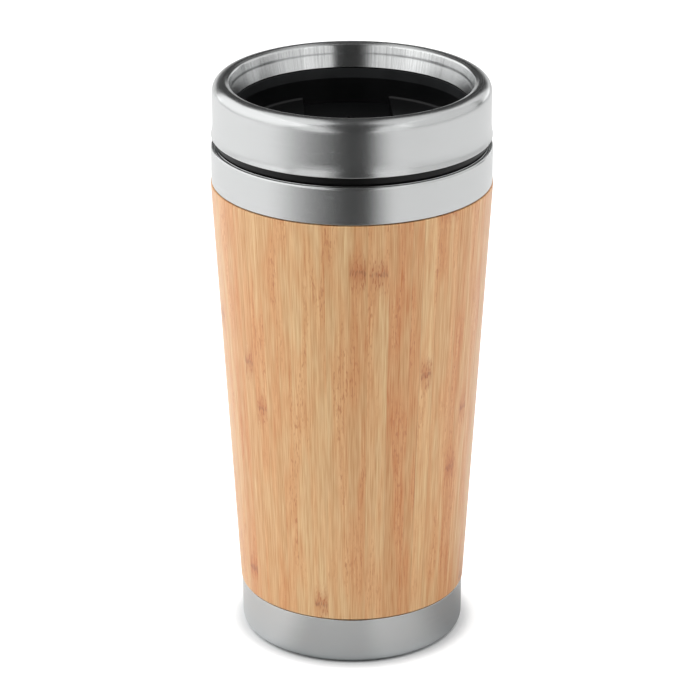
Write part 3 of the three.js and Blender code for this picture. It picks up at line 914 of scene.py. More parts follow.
@dataclass
class CupBody:
    """The cup: steel base, bamboo sleeve, steel band and the liner that holds the drink."""

    sheet: float = 0.5 * MM
    glue: float = 0.3 * MM
    sleeve_wall: float = 3.0 * MM
    sleeve_proud: float = 0.25 * MM
    sleeve_edge: float = 0.35 * MM
    air_gap: float = 2.0 * MM
    base_draft: float = 0.1 * MM
    base_edge: float = 2.5 * MM
    foot_width: float = 7.0 * MM
    foot_rise: float = 1.6 * MM
    band_edge: float = 0.2 * MM
    band_flange: float = 0.2 * MM
    liner_fillet: float = 5.0 * MM
    neck_depth: float = 14.4 * MM
    neck_gap: float = 0.8 * MM
    neck_shoulder: float = 2.5 * MM
    small_edge: float = 0.22 * MM
    base: Span = field(default_factory=lambda: Span.of("base_cup"))
    sleeve: Span = field(default_factory=lambda: Span.of("bamboo_sleeve"))
    band: Span = field(default_factory=lambda: Span.of("top_collar"))
    liner: Span = field(default_factory=lambda: Span.of("inner_liner"))

    def __post_init__(self) -> None:
        """Works out the cone and the neck that the walls share."""
        self.taper = Taper((self.base.radius, self.base.top), (self.band.radius, self.band.bottom))
        self.neck_bottom = self.liner.top - self.neck_depth
        self.neck_outer = self.shell_inner(self.neck_bottom) - self.neck_gap
        self.neck_inner = self.neck_outer - self.sheet

    def sleeve_outer(self, height: float) -> float:
        """Radius of the bamboo's outside, a little proud of the steel."""
        return self.taper.radius(height) + self.sleeve_proud

    def shell_inner(self, height: float) -> float:
        """Radius inside the second wall, which stands behind the bamboo."""
        return self.sleeve_outer(height) - self.sleeve_wall - self.glue - self.sheet

    def liner_outer(self, height: float) -> float:
        """Radius outside the liner, across the insulating gap."""
        return self.shell_inner(height) - self.air_gap

    def base_profile(self) -> Array:
        """Profile of the base: raised floor, foot, rounded edge, wall and the turned-in top."""
        top, wall_top = self.base.top, self.base.radius
        wall_foot = wall_top - self.base_draft
        foot_inner = wall_foot - self.foot_width
        riser = foot_inner - self.foot_rise
        ledge = self.sleeve_outer(top) - self.sleeve_wall
        inner_edge = self.base_edge - self.sheet
        return rounded([
            (0.0, self.foot_rise, 0.0),
            (riser, self.foot_rise, 0.6 * MM),
            (foot_inner, 0.0, 0.6 * MM),
            (wall_foot, 0.0, self.base_edge),
            (wall_top, top, self.small_edge),
            (ledge, top, self.small_edge),
            (ledge, top - self.sheet, 0.0),
            (wall_top - self.sheet, top - self.sheet, self.small_edge),
            (wall_foot - self.sheet, self.sheet, inner_edge),
            (foot_inner + self.sheet / 2, self.sheet, 0.4 * MM),
            (riser + self.sheet / 2, self.foot_rise + self.sheet, 0.4 * MM),
            (0.0, self.foot_rise + self.sheet, 0.0),
        ], closed=False)

    def sleeve_profile(self) -> Array:
        """Profile of the bamboo: a leaning wall with eased edges."""
        bottom, top = self.sleeve.bottom, self.sleeve.top
        return rounded([
            (self.sleeve_outer(bottom) - self.sleeve_wall, bottom, 0.0),
            (self.sleeve_outer(bottom), bottom, self.sleeve_edge),
            (self.sleeve_outer(top), top, self.sleeve_edge),
            (self.sleeve_outer(top) - self.sleeve_wall, top, 0.0),
        ], closed=True)

    def band_profile(self) -> Array:
        """Profile of the steel band: an upright wall turned in at the top to meet the rim."""
        outside, bottom, top = self.band.radius, self.band.bottom, self.band.top
        mouth = outside - self.sheet - self.band_edge - self.band_flange
        return rounded([
            (outside - self.sheet, bottom, 0.0),
            (outside, bottom, self.small_edge),
            (outside, top, self.band_edge + self.sheet),
            (mouth, top, 0.1 * MM),
            (mouth, top - self.sheet, 0.0),
            (outside - self.sheet, top - self.sheet, self.band_edge),
        ], closed=True)

    def liner_profile(self) -> Array:
        """Profile of the liner: rounded floor, tapered wall, upright neck and turned-out rim."""
        floor, top, rim = self.liner.bottom, self.liner.top, self.liner.radius
        shoulder = self.neck_bottom - self.neck_shoulder
        return rounded([
            (0.0, floor, 0.0),
            (self.liner_outer(floor), floor, self.liner_fillet),
            (self.liner_outer(shoulder), shoulder, 1.0 * MM),
            (self.neck_outer, self.neck_bottom, 1.0 * MM),
            (self.neck_outer, top - self.sheet, self.small_edge),
            (rim, top - self.sheet, self.small_edge),
            (rim, top, self.small_edge),
            (self.neck_inner, top, 0.4 * MM),
            (self.neck_inner, self.neck_bottom, 1.0 * MM),
            (self.liner_outer(shoulder) - self.sheet, shoulder, 1.0 * MM),
            (self.liner_outer(floor) - self.sheet, floor + self.sheet, self.liner_fillet - self.sheet),
            (0.0, floor + self.sheet, 0.0),
        ], closed=False)

    def pieces(self, lid: "ScrewLid") -> list[Piece]:
        """Builds the cup's pieces.

        Args:
            lid: the lid, whose thread the liner's beads follow.

        Returns:
            The pieces, from the bottom up.
        """
        bead_crest = lid.plug_radius + lid.running_gap
        beads = lid.thread.teeth(
            self.neck_inner + self.glue, bead_crest, lid.bead_start, lid.bead_height(self)
        )
        staves = self.sleeve_profile()
        sleeve = lathe(staves, closed=True, girth=2 * math.pi * float(staves[:, 0].mean()))
        base = lathe(self.base_profile(), closed=False)
        band = lathe(self.band_profile(), closed=True)
        liner = [lathe(self.liner_profile(), closed=False), *beads]
        return [
            Piece("base_shell", Body.CUP, Slot.STEEL, [base], (BASE_STEEL,), ("base_cup",)),
            Piece("bamboo_wrap", Body.CUP, Slot.BAMBOO, [sleeve], (BAMBOO,), ("bamboo_sleeve",)),
            Piece("steel_band", Body.CUP, Slot.STEEL, [band], (STEEL,), ("top_collar",)),
            Piece("drink_liner", Body.CUP, Slot.STEEL, liner, (LINER_STEEL,), ("inner_liner",)),
        ]


@dataclass
class ScrewLid:
    """The lid: black moulding with a threaded plug and a slider's track, steel ring and gasket."""

    sheet: float = 0.5 * MM
    glue: float = 0.3 * MM
    running_gap: float = 0.4 * MM
    wall: float = 1.8 * MM
    flange_height: float = 2.3 * MM
    plug_bevel: float = 0.7 * MM
    deck_rise: float = 2.7 * MM
    deck_fillet: float = 0.8 * MM
    floor: float = 2.0 * MM
    bowl_bevel: float = 0.25 * MM
    bowl_bevel_drop: float = 2.9 * MM
    flange_depth: float = 12.8 * MM
    ring_shoulder: float = 3.5 * MM
    ring_width: float = 5.0 * MM
    ring_bore_depth: float = 7.2 * MM
    ring_bore_lean: float = 1.6 * MM
    ring_bore_edge: float = 0.6 * MM
    ring_curl: float = 2.5 * MM
    ring_curl_lean: float = 0.55 * MM
    ring_crease: tuple[float, float] = (0.045 * MM, 0.34 * MM)
    lip_flare: float = 0.5 * MM
    lip_height: float = 3.4 * MM
    track_half: float = 13.0 * MM
    track_depth: float = 2.0 * MM
    rail_depth: float = 1.2 * MM
    rail_height: float = 1.2 * MM
    rail_back: float = 1.45 * MM
    slot_inset: float = 5.6 * MM
    slot_length: float = 8.0 * MM
    slot_margin: float = 3.0 * MM
    vent_radius: float = 0.9 * MM
    vent_distance: float = 18.8 * MM
    vent_boss: float = 0.8 * MM
    vent_boss_height: float = 0.4 * MM
    bury: float = 0.2 * MM
    plate_split: float = -14.0 * MM
    thread_lift: float = 1.9 * MM
    thread_depth: float = 1.0 * MM
    thread_stagger: float = math.radians(20)
    thread: Thread = field(default_factory=Thread)
    moulding: Span = field(default_factory=lambda: Span.of("lid_body"))
    ring: Span = field(default_factory=lambda: Span.of("lid_trim_ring"))
    gasket: Span = field(default_factory=lambda: Span.of("lid_gasket"))

    def __post_init__(self) -> None:
        """Works out the shared radii and heights from the frame's nodes."""
        way = next(joint["axis"] for joint in frame["joints"] if joint["name"] == "slider_open")
        self.yaw = math.atan2(-way[0], way[1])
        self.bead_start = self.yaw + self.thread_stagger
        self.ring_wall = self.ring.radius - self.lip_flare
        self.ring_bore = self.ring_wall - self.ring_width
        self.bowl_mouth = self.ring_bore - self.ring_bore_lean
        self.bowl_radius = self.bowl_mouth - self.bowl_bevel
        self.bore_bottom = self.ring.top - self.ring_bore_depth
        self.flange_bottom = self.moulding.bottom + self.flange_depth
        self.flange_top = self.flange_bottom + self.flange_height
        self.deck_top = self.flange_bottom + self.deck_rise
        self.track_floor = self.deck_top - self.track_depth
        self.underside = self.track_floor - self.floor
        self.track_radius = self.bowl_radius - self.glue
        self.slot_middle = self.slot_inset + self.slot_length / 2 - self.bowl_radius
        self.slot_half = self.track_half - self.slot_margin
        self.plug_radius = self.gasket.inner - self.glue
        self.plug_inner = self.plug_radius - self.wall

    def bead_height(self, cup: CupBody) -> float:
        """Height where the liner's first bead starts: above the lid's ridge by the running gap."""
        slope = (self.thread.root - self.thread.crest) / (2 * self.thread_depth)
        lift = self.thread.root - slope * (cup.neck_inner - self.plug_radius) + self.running_gap
        stagger = self.thread.lead * self.thread_stagger / (2 * math.pi)
        return self.moulding.bottom + self.thread_lift + lift + stagger

    def moulding_patch(self) -> Patch:
        """The moulding without its deck: plug, gasket groove, flange, upstand and bowl with its mouth."""
        groove_top = self.gasket.top + self.glue
        groove_outer = self.gasket.radius + self.glue
        ledge = self.bore_bottom - self.glue
        bottom, top, outside = self.moulding.bottom, self.moulding.top, self.moulding.radius
        mouth_bottom = ledge - self.bowl_bevel_drop
        profile = rounded([
            (self.plug_inner, bottom, 0.3 * MM),
            (self.plug_radius, bottom, self.plug_bevel),
            (self.plug_radius, groove_top, 0.1 * MM),
            (groove_outer, groove_top, 0.1 * MM),
            (groove_outer, self.flange_bottom, 0.15 * MM),
            (outside, self.flange_bottom, 0.35 * MM),
            (outside, top, 0.2 * MM),
            (outside - self.wall, top, 0.2 * MM),
            (outside - self.wall, self.flange_top, 0.3 * MM),
            (self.bowl_radius + self.wall, self.flange_top, 0.3 * MM),
            (self.bowl_radius + self.wall, ledge, 0.1 * MM),
            (self.bowl_mouth, ledge, 0.1 * MM),
            (self.bowl_radius, mouth_bottom, 0.05 * MM),
            (self.bowl_radius, self.underside, 0.0),
            (self.plug_inner, self.underside, 0.0),
        ], closed=True)
        turned = lathe(profile, closed=True)
        middle = (profile + np.roll(profile, -1, axis=0)) / 2
        # The mouth's rows take the second finish, the moulding painted lighter for the light that falls on
        # it.
        mouth = (middle[:, 0] < self.bowl_mouth + PICK_MARGIN) & (middle[:, 1] > mouth_bottom)
        return Patch(turned.points, turned.uv, turned.wrap_rows, mouth.astype(int))

    def ring_patch(self) -> Patch:
        """The steel ring: hemmed lip, wall, rounded shoulder, crest and a leaning bore with a crease."""
        lip, bottom, top = self.ring.radius, self.ring.bottom, self.ring.top
        hem = self.moulding.radius + self.glue
        crease = top - self.ring_bore_edge - self.ring_curl
        curl = self.ring_bore - self.ring_curl_lean
        profile = rounded([
            (hem, bottom, 0.15 * MM),
            (lip, bottom, 0.3 * MM),
            (self.ring_wall + self.lip_flare / 4, bottom + self.lip_height / 2, 0.6 * MM),
            (self.ring_wall, bottom + self.lip_height, 0.6 * MM),
            (self.ring_wall, top, self.ring_shoulder),
            (self.ring_bore + 2 * self.ring_bore_edge, top, 0.3 * MM),
            (self.ring_bore, top - self.ring_bore_edge, 0.35 * MM),
            (curl + self.ring_crease[0], crease + self.ring_crease[1], 0.25 * MM),
            (curl - self.ring_crease[0], crease - self.ring_crease[1], 0.25 * MM),
            (self.bowl_mouth, self.bore_bottom, 0.12 * MM),
            (self.bowl_mouth + self.sheet, self.bore_bottom, 0.12 * MM),
            (curl + self.sheet, crease, 0.4 * MM),
            (self.ring_bore + self.sheet, top - self.ring_bore_edge - self.sheet, 0.3 * MM),
            (self.ring_wall - self.sheet, top - self.sheet, self.ring_shoulder - self.sheet),
            (self.ring_wall - self.sheet, bottom + self.lip_height, 0.6 * MM),
            (hem, bottom + self.sheet, 0.15 * MM),
        ], closed=True)
        turned = lathe(profile, closed=True)
        middle = (profile + np.roll(profile, -1, axis=0)) / 2
        # The bore's rows take the second finish, the steel painted lighter for the light that falls on it.
        bore = (middle[:, 0] < self.ring_bore - PICK_MARGIN) & (middle[:, 1] < top - self.ring_bore_edge / 2)
        return Patch(turned.points, turned.uv, turned.wrap_rows, bore.astype(int))

    def gasket_profile(self) -> Array:
        """Profile of the gasket: a flat band with rounded edges."""
        inside, outside = self.gasket.inner, self.gasket.radius
        bottom, top = self.gasket.bottom, self.gasket.top
        edge = 0.3 * MM
        return rounded([
            (inside, bottom, edge), (outside, bottom, edge), (outside, top, edge), (inside, top, edge)
        ], closed=True)

    def deck_side(self, side: float) -> Patch:
        """One raised side of the deck: a section across X carried along Y.

        At each y the section runs from the track's edge to the circle of the bowl's wall, sqrt(R^2 - y^2).
        Its top turns up into the wall by a fillet, its track wall has a rail groove between two places, and
        its underside is hollowed.

        Args:
            side: 1 for the +X side and -1 for the -X side.

        Returns:
            The closed block.
        """
        edge, top, floor, under = self.track_half, self.deck_top, self.track_floor, self.underside
        reach = self.bowl_radius + self.bury
        tip = math.sqrt(reach**2 - edge**2)
        outer_rail = edge + self.rail_depth
        rail_front = -math.sqrt(self.track_radius**2 - outer_rail**2)
        steps = tip * np.sin(np.linspace(-math.pi / 2, math.pi / 2, DECK_STEPS))
        hair = 0.01 * MM
        ends = [rail_front - hair, rail_front + hair, self.rail_back - hair, self.rail_back + hair]
        y = np.sort(np.concatenate([steps, ends]))
        outside = np.sqrt(np.maximum(reach**2 - y**2, edge**2))
        groove = np.where((y > rail_front) & (y < self.rail_back), edge + self.rail_depth, edge)
        hollow_inner = outer_rail + self.wall
        hollow_outer = np.sqrt(np.maximum((self.plug_radius - 2 * self.wall) ** 2 - y**2, hollow_inner**2))
        ease = 0.35 * MM
        columns = []
        for b in np.linspace(0.0, math.pi / 2, EASE_STEPS):
            across = np.full_like(y, edge + ease * (1 - math.cos(b)))
            columns.append((across, top - ease * (1 - math.sin(b))))
        for b in np.linspace(0.0, FILLET_TURN, FILLET_STEPS):
            circle = self.bowl_radius - self.deck_fillet * (1 - math.sin(b))
            across = np.sqrt(np.maximum(circle**2 - y**2, edge**2))
            columns.append((across, top + self.deck_fillet * (1 - math.cos(b))))
        rib = top - self.floor
        columns += [
            (outside, top + self.deck_fillet),
            (outside, under),
            (hollow_outer, under),
            (hollow_outer, rib),
            (np.full_like(y, hollow_inner), rib),
            (np.full_like(y, hollow_inner), under),
            (np.full_like(y, edge), under),
            (np.full_like(y, edge), floor),
            (groove, floor),
            (groove, floor + self.rail_height),
            (np.full_like(y, edge), floor + self.rail_height),
        ]
        x = np.stack([np.minimum(column, outside) for column, _ in columns], -1)
        z = np.broadcast_to(np.array([height for _, height in columns]), x.shape)
        points = np.stack([side * x, np.broadcast_to(y[:, None], x.shape), z], -1)
        return loft(list(points), closed=False)

    def track_plates(self) -> list[Patch]:
        """The track's floor: a front plate round the drinking slot and a back plate round the vent."""
        half = self.track_half + self.rail_depth
        reach = self.track_radius + self.glue + self.bury
        floor, under = self.track_floor, self.underside
        slot = Stadium(self.slot_middle, self.slot_half, self.slot_length)
        front = Outline(
            self.slot_middle,
            ((0.0, half), (180.0, half), (90.0, self.plate_split - self.slot_middle)),
            reach,
        )
        ease = 0.3 * MM
        front_plate = loft([
            front.ring(floor),
            slot.ring(floor, -ease),
            slot.ring(floor - BEVEL_BEND * ease, -BEVEL_BEND * ease),
            slot.ring(floor - ease),
            slot.ring(under + ease),
            slot.ring(under, -ease),
            front.ring(under),
        ], closed=True)
        back = Outline(
            self.vent_distance,
            ((0.0, half), (180.0, half), (270.0, self.vent_distance - self.plate_split)),
            reach,
        )
        vent = Stadium(self.vent_distance, self.vent_radius, 2 * self.vent_radius)
        crown = floor + self.vent_boss_height
        back_plate = loft([
            back.ring(floor),
            vent.ring(floor, -self.vent_boss - 0.1 * MM),
            vent.ring(floor + 0.08 * MM, -self.vent_boss),
            vent.ring(crown - 0.08 * MM, -self.vent_boss + 0.12 * MM),
            vent.ring(crown, -self.vent_boss + 0.22 * MM),
            vent.ring(crown, -0.1 * MM),
            vent.ring(crown - 0.1 * MM),
            vent.ring(under),
            back.ring(under),
        ], closed=True)
        return [front_plate, back_plate]

    def pieces(self) -> list[Piece]:
        """Builds the lid's pieces, turned to the frame's lid angle.

        Returns:
            The moulding, the ring and the gasket.
        """
        ridge_crest = self.plug_radius + self.thread_depth
        ridge_foot = self.moulding.bottom + self.thread_lift
        ridges = self.thread.teeth(self.plug_radius - self.glue, ridge_crest, 0.0, ridge_foot)
        moulding = [
            self.moulding_patch(), self.deck_side(1.0), self.deck_side(-1.0),
            *self.track_plates(), *ridges,
        ]
        turned = [turned_about_z(patch, self.yaw) for patch in moulding]
        ring = self.ring_patch()
        gasket = lathe(self.gasket_profile(), closed=True)
        return [
            # The second finish paints the bowl's mouth lighter, for the light that falls on it.
            Piece("lid_moulding", Body.LID, Slot.PLASTIC, turned, (PLASTIC, PAINTED_LIGHT_MOUTH_PLASTIC), ("lid_body",)),
            # The second finish paints the ring's bore lighter, for the light that falls on it.
            Piece("lid_ring", Body.LID, Slot.STEEL, [ring], (STEEL, PAINTED_LIGHT_BORE_STEEL), ("lid_trim_ring",)),
            Piece("rim_gasket", Body.GASKET, Slot.SILICONE, [gasket], (SILICONE,), ("lid_gasket",)),
        ]


@dataclass
class DrinkSlider:
    """The slider that closes the drinking slot, and the silicone pad under it."""

    lid: ScrewLid
    length: float = 21.0 * MM
    rise: float = 0.3 * MM
    tongue_inset: float = 3.4 * MM
    grip_width: float = 16.0 * MM
    grip_depth: float = 4.0 * MM
    grip_height: float = 2.4 * MM
    grip_inset: float = 1.2 * MM
    seal_lap: float = 1.5 * MM
    seal_gap: float = 0.1 * MM
    seal_thickness: float = 0.85 * MM
    edge: float = 0.35 * MM

    def __post_init__(self) -> None:
        """Works out the slider's place in the lid's track."""
        lid = self.lid
        self.half = lid.track_half - lid.running_gap
        self.front = lid.track_radius - lid.running_gap
        self.back = self.length - self.front
        self.bottom = lid.track_floor + lid.glue
        self.top = lid.deck_top + self.rise

    def plate(self) -> Patch:
        """The slider's plate, with eased edges and the pad's pocket in its underside."""
        lid = self.lid
        middle = lid.slot_middle
        sides = ((0.0, self.half), (180.0, self.half), (90.0, self.back - middle))
        shape = Outline(middle, sides, self.front)
        spread = self.seal_lap + lid.glue
        pocket = Stadium(middle, lid.slot_half + spread, lid.slot_length + 2 * spread)
        ceiling = lid.track_floor + self.seal_gap + self.seal_thickness + lid.glue
        rings = [
            shape.ring(self.top, self.edge),
            shape.ring(self.top - BEVEL_BEND * self.edge, BEVEL_BEND * self.edge),
            shape.ring(self.top - self.edge),
            shape.ring(self.bottom + self.edge),
            shape.ring(self.bottom, self.edge),
            pocket.ring(self.bottom),
            pocket.ring(ceiling),
        ]
        return loft([shrunk(rings[0]), *rings, shrunk(rings[-1])], closed=False)

    def tongue(self, side: float) -> Patch:
        """One tongue of the slider, which runs in a rail groove of the track.

        Args:
            side: 1 for the +X side and -1 for the -X side.

        Returns:
            A thin bevelled strip.
        """
        lid = self.lid
        inner = self.half - lid.rail_depth / 2
        outer = lid.track_half + lid.rail_depth - lid.running_gap
        front = self.tongue_inset - self.front
        half_length = (self.back - front) / 2
        half_width = (outer - inner) / 2
        shape = Outline(
            (self.back + front) / 2,
            ((0.0, half_width), (180.0, half_width), (90.0, half_length), (270.0, half_length)),
        )
        strip = slab(shape, self.bottom, lid.track_floor + lid.rail_height - lid.glue, 0.1 * MM)
        points = strip.points + np.array([side * (inner + outer) / 2, 0.0, 0.0])
        return Patch(points, strip.uv)

    def grip(self) -> Patch:
        """The thumb grip: a half-round bar along X whose section shrinks at both ends.

        At a share u of its half width the section is scaled by (1 - |u|^8)^(1/4), and at angle v its point
        lies depth/2 cos v along Y and height sin v above the plate.
        """
        middle = self.back - self.grip_inset - self.grip_depth / 2
        share = np.sin(np.linspace(-math.pi / 2, math.pi / 2, GRIP_STEPS))[:, None]
        scale = (1.0 - np.abs(share) ** 8) ** 0.25
        around = np.linspace(0.0, 2 * math.pi, GRIP_STEPS, endpoint=False)[None, :]
        rise = np.where(np.sin(around) > 0, self.grip_height, self.rise) * np.sin(around)
        x = np.broadcast_to(self.grip_width / 2 * share, (GRIP_STEPS, GRIP_STEPS))
        y = middle + (
            self.grip_depth / 2 * (0.35 + 0.65 * scale) * np.cos(around) * np.minimum(1.0, 4 * scale)
        )
        return loft(list(np.stack([x, y, self.top + scale * rise], -1)), closed=False)

    def seal(self) -> Patch:
        """The silicone pad that covers the drinking slot."""
        lid = self.lid
        shape = Stadium(lid.slot_middle, lid.slot_half + self.seal_lap, lid.slot_length + 2 * self.seal_lap)
        bottom = lid.track_floor + self.seal_gap
        return slab(shape, bottom, bottom + self.seal_thickness, 0.2 * MM)

    def pieces(self) -> list[Piece]:
        """Builds the slider's pieces, turned to the frame's lid angle.

        Returns:
            The slider and its pad.
        """
        slider = [self.plate(), self.tongue(1.0), self.tongue(-1.0), self.grip()]
        turned = [turned_about_z(patch, self.lid.yaw) for patch in slider]
        pad = turned_about_z(self.seal(), self.lid.yaw)
        return [
            Piece("slot_slider", Body.SLIDER, Slot.PLASTIC, turned, (PLASTIC,), ("lid_slider",)),
            Piece("slot_pad", Body.SLIDER, Slot.SILICONE, [pad], (SILICONE,), ("slider_seal",)),
        ]


@dataclass(frozen=True)
class SoftBox:
    """A rectangular studio light.

    Attributes:
        name: the light's name.
        place: where it hangs.
        target: where it points.
        size: its width and height.
        radiance: how bright its face is, where 1 is white.
        mirrored: whether it shows in the steel.
        lights_matt: whether it lights matt surfaces.
    """

    name: str
    place: tuple[float, float, float]
    target: tuple[float, float, float]
    size: tuple[float, float]
    radiance: float
    mirrored: bool = True
    lights_matt: bool = True

    def build(self) -> None:
        """Hangs the light."""
        light = bpy.data.lights.new(self.name, "AREA")
        light.shape = "RECTANGLE"
        light.size, light.size_y = self.size
        light.energy = self.radiance * math.pi * self.size[0] * self.size[1]
        lamp = bpy.data.objects.new(self.name, light)
        lamp.location = self.place
        lamp.rotation_euler = (Vector(self.target) - Vector(self.place)).to_track_quat("-Z", "Y").to_euler()
        lamp.visible_camera = False
        lamp.visible_glossy = self.mirrored
        lamp.visible_diffuse = self.lights_matt
        bpy.context.scene.collection.objects.link(lamp)


@dataclass
class Studio:
    """Floor, lights, a dark card before the lens and the camera at the photograph's angle.

    Directions on the floor are angles from the front, and each pair of values is where a fade starts and
    where it ends.

    Attributes:
        camera_back: distance of the lens in front of the tumbler's axis.
        camera_height: height of the lens.
        camera_pitch: how far it looks down.
        lens: focal length in millimetres.
        sensor: sensor width in millimetres.
        shift_pixels: how far the picture is shifted.
        floor_half: half width of the floor.
        floor_tone: how pale the floor is.
        floor_lift: how much the lens sees it lifted toward white.
        foot_reach: distance from the axis over which that lift comes in.
        room: how bright the room is to the surfaces.
        backdrop: how bright it is to the lens.
        card_distance: how far the dark card stands before the axis.
        card_foot: left and right end of its foot.
        card_head: left and right end of its head.
        card_fade: width over which its left side thins out.
        card_height: its height.
        shade_reach: half width of the shade on the floor.
        shade_left: direction over which the shade comes in.
        shade_right: direction over which it goes out.
        shade_strength: how dark it is.
        foot_left: direction over which the shade round the foot comes in.
        foot_front: direction over which it lightens.
        foot_right: direction over which it darkens again.
        foot_shade: how much it changes over each of these three.
        foot_fade: distance over which it goes out.
        foot_back: place along Y over which it goes out.
        shade_start: distance over which the larger shade comes in.
        shade_back: where the shade ends behind the axis.
        card_tone: how dark the card and the shade are.
        stage_gap: how far floor and shade lie from the level of the foot.
        boxes: the soft lights.
    """

    camera_back: float = 0.8868
    camera_height: float = 0.4515
    camera_pitch: float = math.radians(22.26)
    lens: float = 163.2
    sensor: float = 36.0
    shift_pixels: tuple[float, float] = (-2.0, 0.5)
    floor_half: float = 4.0
    floor_tone: float = 0.93
    floor_lift: float = 0.4
    foot_reach: tuple[float, float] = (34.0 * MM, 39.0 * MM)
    room: float = 0.05
    backdrop: float = 1.0
    card_distance: float = 0.38
    card_foot: tuple[float, float] = (0.0, 0.085)
    card_head: tuple[float, float] = (-0.22, 0.27)
    card_fade: float = 0.13
    card_height: float = 1.1
    shade_reach: float = 0.9
    shade_left: tuple[float, float] = (math.radians(-72), math.radians(-14))
    shade_right: tuple[float, float] = (math.radians(10), math.radians(36))
    shade_strength: float = 0.94
    foot_left: tuple[float, float] = (math.radians(-56), math.radians(-28))
    foot_front: tuple[float, float] = (math.radians(4), math.radians(24))
    foot_right: tuple[float, float] = (math.radians(38), math.radians(76))
    foot_shade: tuple[float, float, float] = (0.4, 0.19, 0.29)
    foot_fade: tuple[float, float] = (0.05, 0.16)
    foot_back: tuple[float, float] = (0.0, 0.04)
    shade_start: tuple[float, float] = (0.1, 0.22)
    shade_back: float = 0.1
    card_tone: float = 0.03
    stage_gap: float = 0.02 * MM
    boxes: tuple[SoftBox, ...] = (
        SoftBox("left_wall", (-1.05, 0.2, 0.62), (0.0, 0.2, 0.1), (2.4, 1.15), 1.34),
        SoftBox("right_wall", (1.05, -0.1, 0.62), (0.0, 0.0, 0.1), (1.8, 1.15), 0.8),
        SoftBox("right_rear", (1.05, 1.4, 0.9), (0.0, 1.4, 0.9), (1.1, 1.6), 0.85, lights_matt=False),
        SoftBox("front_wall", (0.0, -1.1, 0.62), (0.0, 0.0, 0.62), (2.4, 1.2), 0.92, lights_matt=False),
        SoftBox("left_ceiling", (-0.6, -0.1, 1.4), (-0.1, -0.1, 0.1), (1.8, 0.79), 1.05),
        SoftBox("right_ceiling", (0.59, -0.1, 1.39), (0.1, -0.1, 0.1), (1.8, 0.77), 0.8),
        SoftBox("horizon", (0.0, 2.2, 0.21), (0.0, 0.0, 0.21), (5.0, 0.6), 0.75, lights_matt=False),
        SoftBox("overhead", (0.0, 0.6, 1.9), (0.0, 0.6, 0.0), (3.6, 4.2), 0.85, mirrored=False),
    )

    def build(self) -> None:
        """Sets up the stage."""
        self.build_floor()
        self.build_cards()
        self.build_room()
        for box in self.boxes:
            box.build()
        self.build_camera()
        bpy.context.scene.view_settings.view_transform = "Standard"

    def flat(
        self, name: str, corners: Sequence[Sequence[float]], material: bpy.types.Material
    ) -> bpy.types.Object:
        """A flat four-sided stage piece.

        Args:
            name: its name.
            corners: its four corners in order.
            material: its material.

        Returns:
            The object.
        """
        mesh = bpy.data.meshes.new(name)
        mesh.from_pydata([tuple(corner) for corner in corners], [], [(0, 1, 2, 3)])
        mesh.materials.append(material)
        made = bpy.data.objects.new(name, mesh)
        bpy.context.scene.collection.objects.link(made)
        return made

    def build_floor(self) -> None:
        """The pale floor, lifted toward white where the lens sees it, save where the foot shades it."""
        material, book = new_material("pale_floor")
        matt = book.add("BsdfDiffuse", {"Color": (self.floor_tone,) * 3 + (1.0,)})
        seen = book.add("LightPath").outputs["Is Camera Ray"]
        away = book.length(book.place())
        seen = book.math("MULTIPLY", seen, book.span(away, self.foot_reach, (0.0, 1.0)))
        lift = book.add("Emission", {"Strength": book.math("MULTIPLY", seen, self.floor_lift)})
        both = book.add("AddShader", {0: matt.outputs[0], 1: lift.outputs[0]})
        book.add("OutputMaterial", {"Surface": both.outputs[0]})
        half, level = self.floor_half, -self.stage_gap
        self.flat(
            "studio_floor",
            [(-half, -half, level), (half, -half, level), (half, half, level), (-half, half, level)],
            material,
        )

    def build_cards(self) -> None:
        """The dark card before the lens and the floor's shade, painted darkness that only reflections show.
        """
        y, reach, back, level = -self.card_distance, self.shade_reach, self.shade_back, self.stage_gap
        foot, head, top = self.card_foot, self.card_head, self.card_height
        left = foot[0] - self.card_fade
        upright = [(left, y, 0.0), (foot[1], y, 0.0), (head[1], y, top), (head[0], y, top)]
        lying = [
            (-reach, -reach, level), (reach, -reach, level), (reach, back, level), (-reach, back, level)
        ]
        for name, corners, material in (
            ("lens_card", upright, self.card_material()),
            ("floor_shade", lying, self.shade_material()),
        ):
            card = self.flat(name, corners, material)
            card.visible_camera = False
            card.visible_diffuse = False
            card.visible_shadow = False

    def card_material(self) -> bpy.types.Material:
        """Matt black card that thins out toward its left side: a painted dark reflection in the steel."""
        material, book = new_material("dark_card")
        parts = book.add("SeparateXYZ", {0: book.place()}).outputs
        up = book.math("DIVIDE", parts[2], self.card_height)
        edge = book.math("MULTIPLY_ADD", up, self.card_head[0] - self.card_foot[0], self.card_foot[0])
        cover = book.span(book.math("SUBTRACT", parts[0], edge), (-self.card_fade, 0.0), (0.0, 1.0))
        self.dark_sheet(book, cover)
        return material

    def dark_sheet(self, book: NodeBook, cover: Socket) -> None:
        """Ends a material in matt black that covers where cover is 1 and is clear where it is 0."""
        dark = book.add("BsdfDiffuse", {"Color": (self.card_tone,) * 3 + (1.0,)})
        clear = book.add("BsdfTransparent")
        mixed = book.add("MixShader", {0: cover, 1: clear.outputs[0], 2: dark.outputs[0]})
        book.add("OutputMaterial", {"Surface": mixed.outputs[0]})

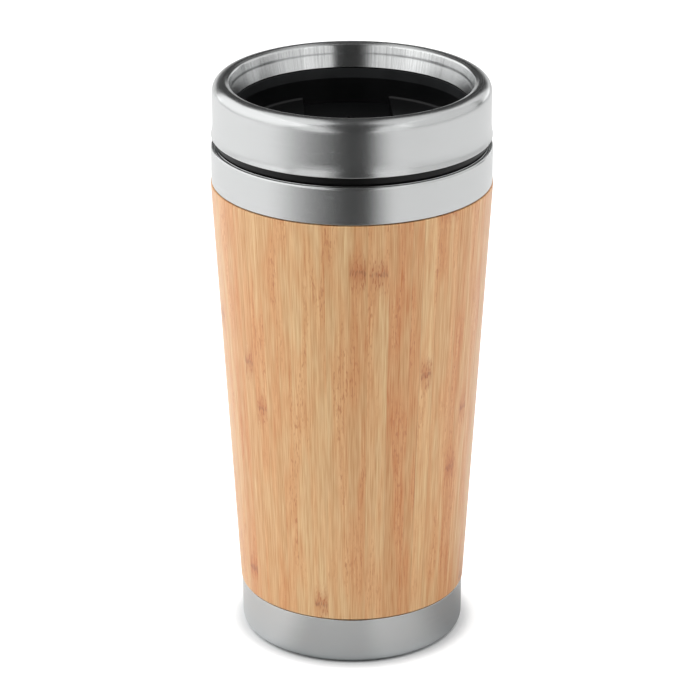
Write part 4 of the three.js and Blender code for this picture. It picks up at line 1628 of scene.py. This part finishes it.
    def shade_material(self) -> bpy.types.Material:
        """Shade that fades with direction from the front, and a little round the foot."""
        material, book = new_material("floor_shade")
        place = book.place()
        parts = book.add("SeparateXYZ", {0: place}).outputs
        turn = book.math("ARCTAN2", parts[0], book.math("MULTIPLY", parts[1], -1.0))
        cover = book.math("MULTIPLY", book.span(turn, self.shade_left, (0.0, 1.0)), self.shade_strength)
        cover = book.math("MULTIPLY", cover, book.span(turn, self.shade_right, (1.0, 0.0)))
        away = book.length(place)
        cover = book.math("MULTIPLY", cover, book.span(away, self.shade_start, (0.0, 1.0)))
        foot = book.span(turn, self.foot_left, (0.0, self.foot_shade[0]))
        foot = book.math("SUBTRACT", foot, book.span(turn, self.foot_front, (0.0, self.foot_shade[1])))
        foot = book.math("ADD", foot, book.span(turn, self.foot_right, (0.0, self.foot_shade[2])))
        foot = book.math("MULTIPLY", foot, book.span(away, self.foot_fade, (1.0, 0.0)))
        foot = book.math("MULTIPLY", foot, book.span(parts[1], self.foot_back, (1.0, 0.0)))
        self.dark_sheet(book, book.math("MAXIMUM", cover, foot))
        return material

    def build_room(self) -> None:
        """The room: white to the lens and dim to everything else."""
        world = bpy.data.worlds.new("studio_room")
        world.use_nodes = True
        bpy.context.scene.world = world
        book = NodeBook(world.node_tree)
        seen = book.add("LightPath").outputs["Is Camera Ray"]
        tone = book.mix(seen, (self.room,) * 3, (self.backdrop,) * 3)
        sky = book.add("Background", {"Color": tone, "Strength": 1.0})
        book.add("OutputWorld", {"Surface": sky.outputs[0]})

    def build_camera(self) -> None:
        """The camera, level with the photograph's."""
        lens = bpy.data.cameras.new("camera")
        lens.lens = self.lens
        lens.sensor_width = self.sensor
        lens.shift_x, lens.shift_y = (pixels / IMAGE_PIXELS for pixels in self.shift_pixels)
        camera = bpy.data.objects.new("camera", lens)
        camera.location = (0.0, -self.camera_back, self.camera_height)
        camera.rotation_euler = (math.pi / 2 - self.camera_pitch, 0.0, 0.0)
        bpy.context.scene.collection.objects.link(camera)
        bpy.context.scene.camera = camera


def dress_shell(materials: Materials) -> None:
    """Gives the hidden second wall, which keeps its CAD shape, the steel finish.

    Args:
        materials: the materials made so far.
    """
    shell = frame["nodes"]["outer_shell"]
    shell.data.materials.clear()
    shell.data.materials.append(materials.of(BrushedSteel("shell_steel", roughness=0.35, stretch=0.0)))
    LOG.info("outer_shell: CAD shape, steel finish")


def main() -> None:
    """Builds the cup, the lid and the slider in order, then the studio."""
    logging.basicConfig(level=logging.INFO, format="%(name)s: %(message)s")
    materials = Materials()
    lid = ScrewLid()
    cup = CupBody()
    slider = DrinkSlider(lid)
    for piece in [*cup.pieces(lid), *lid.pieces(), *slider.pieces()]:
        piece.build(materials)
    dress_shell(materials)
    Studio().build()


if __name__ == "__main__":
    main()
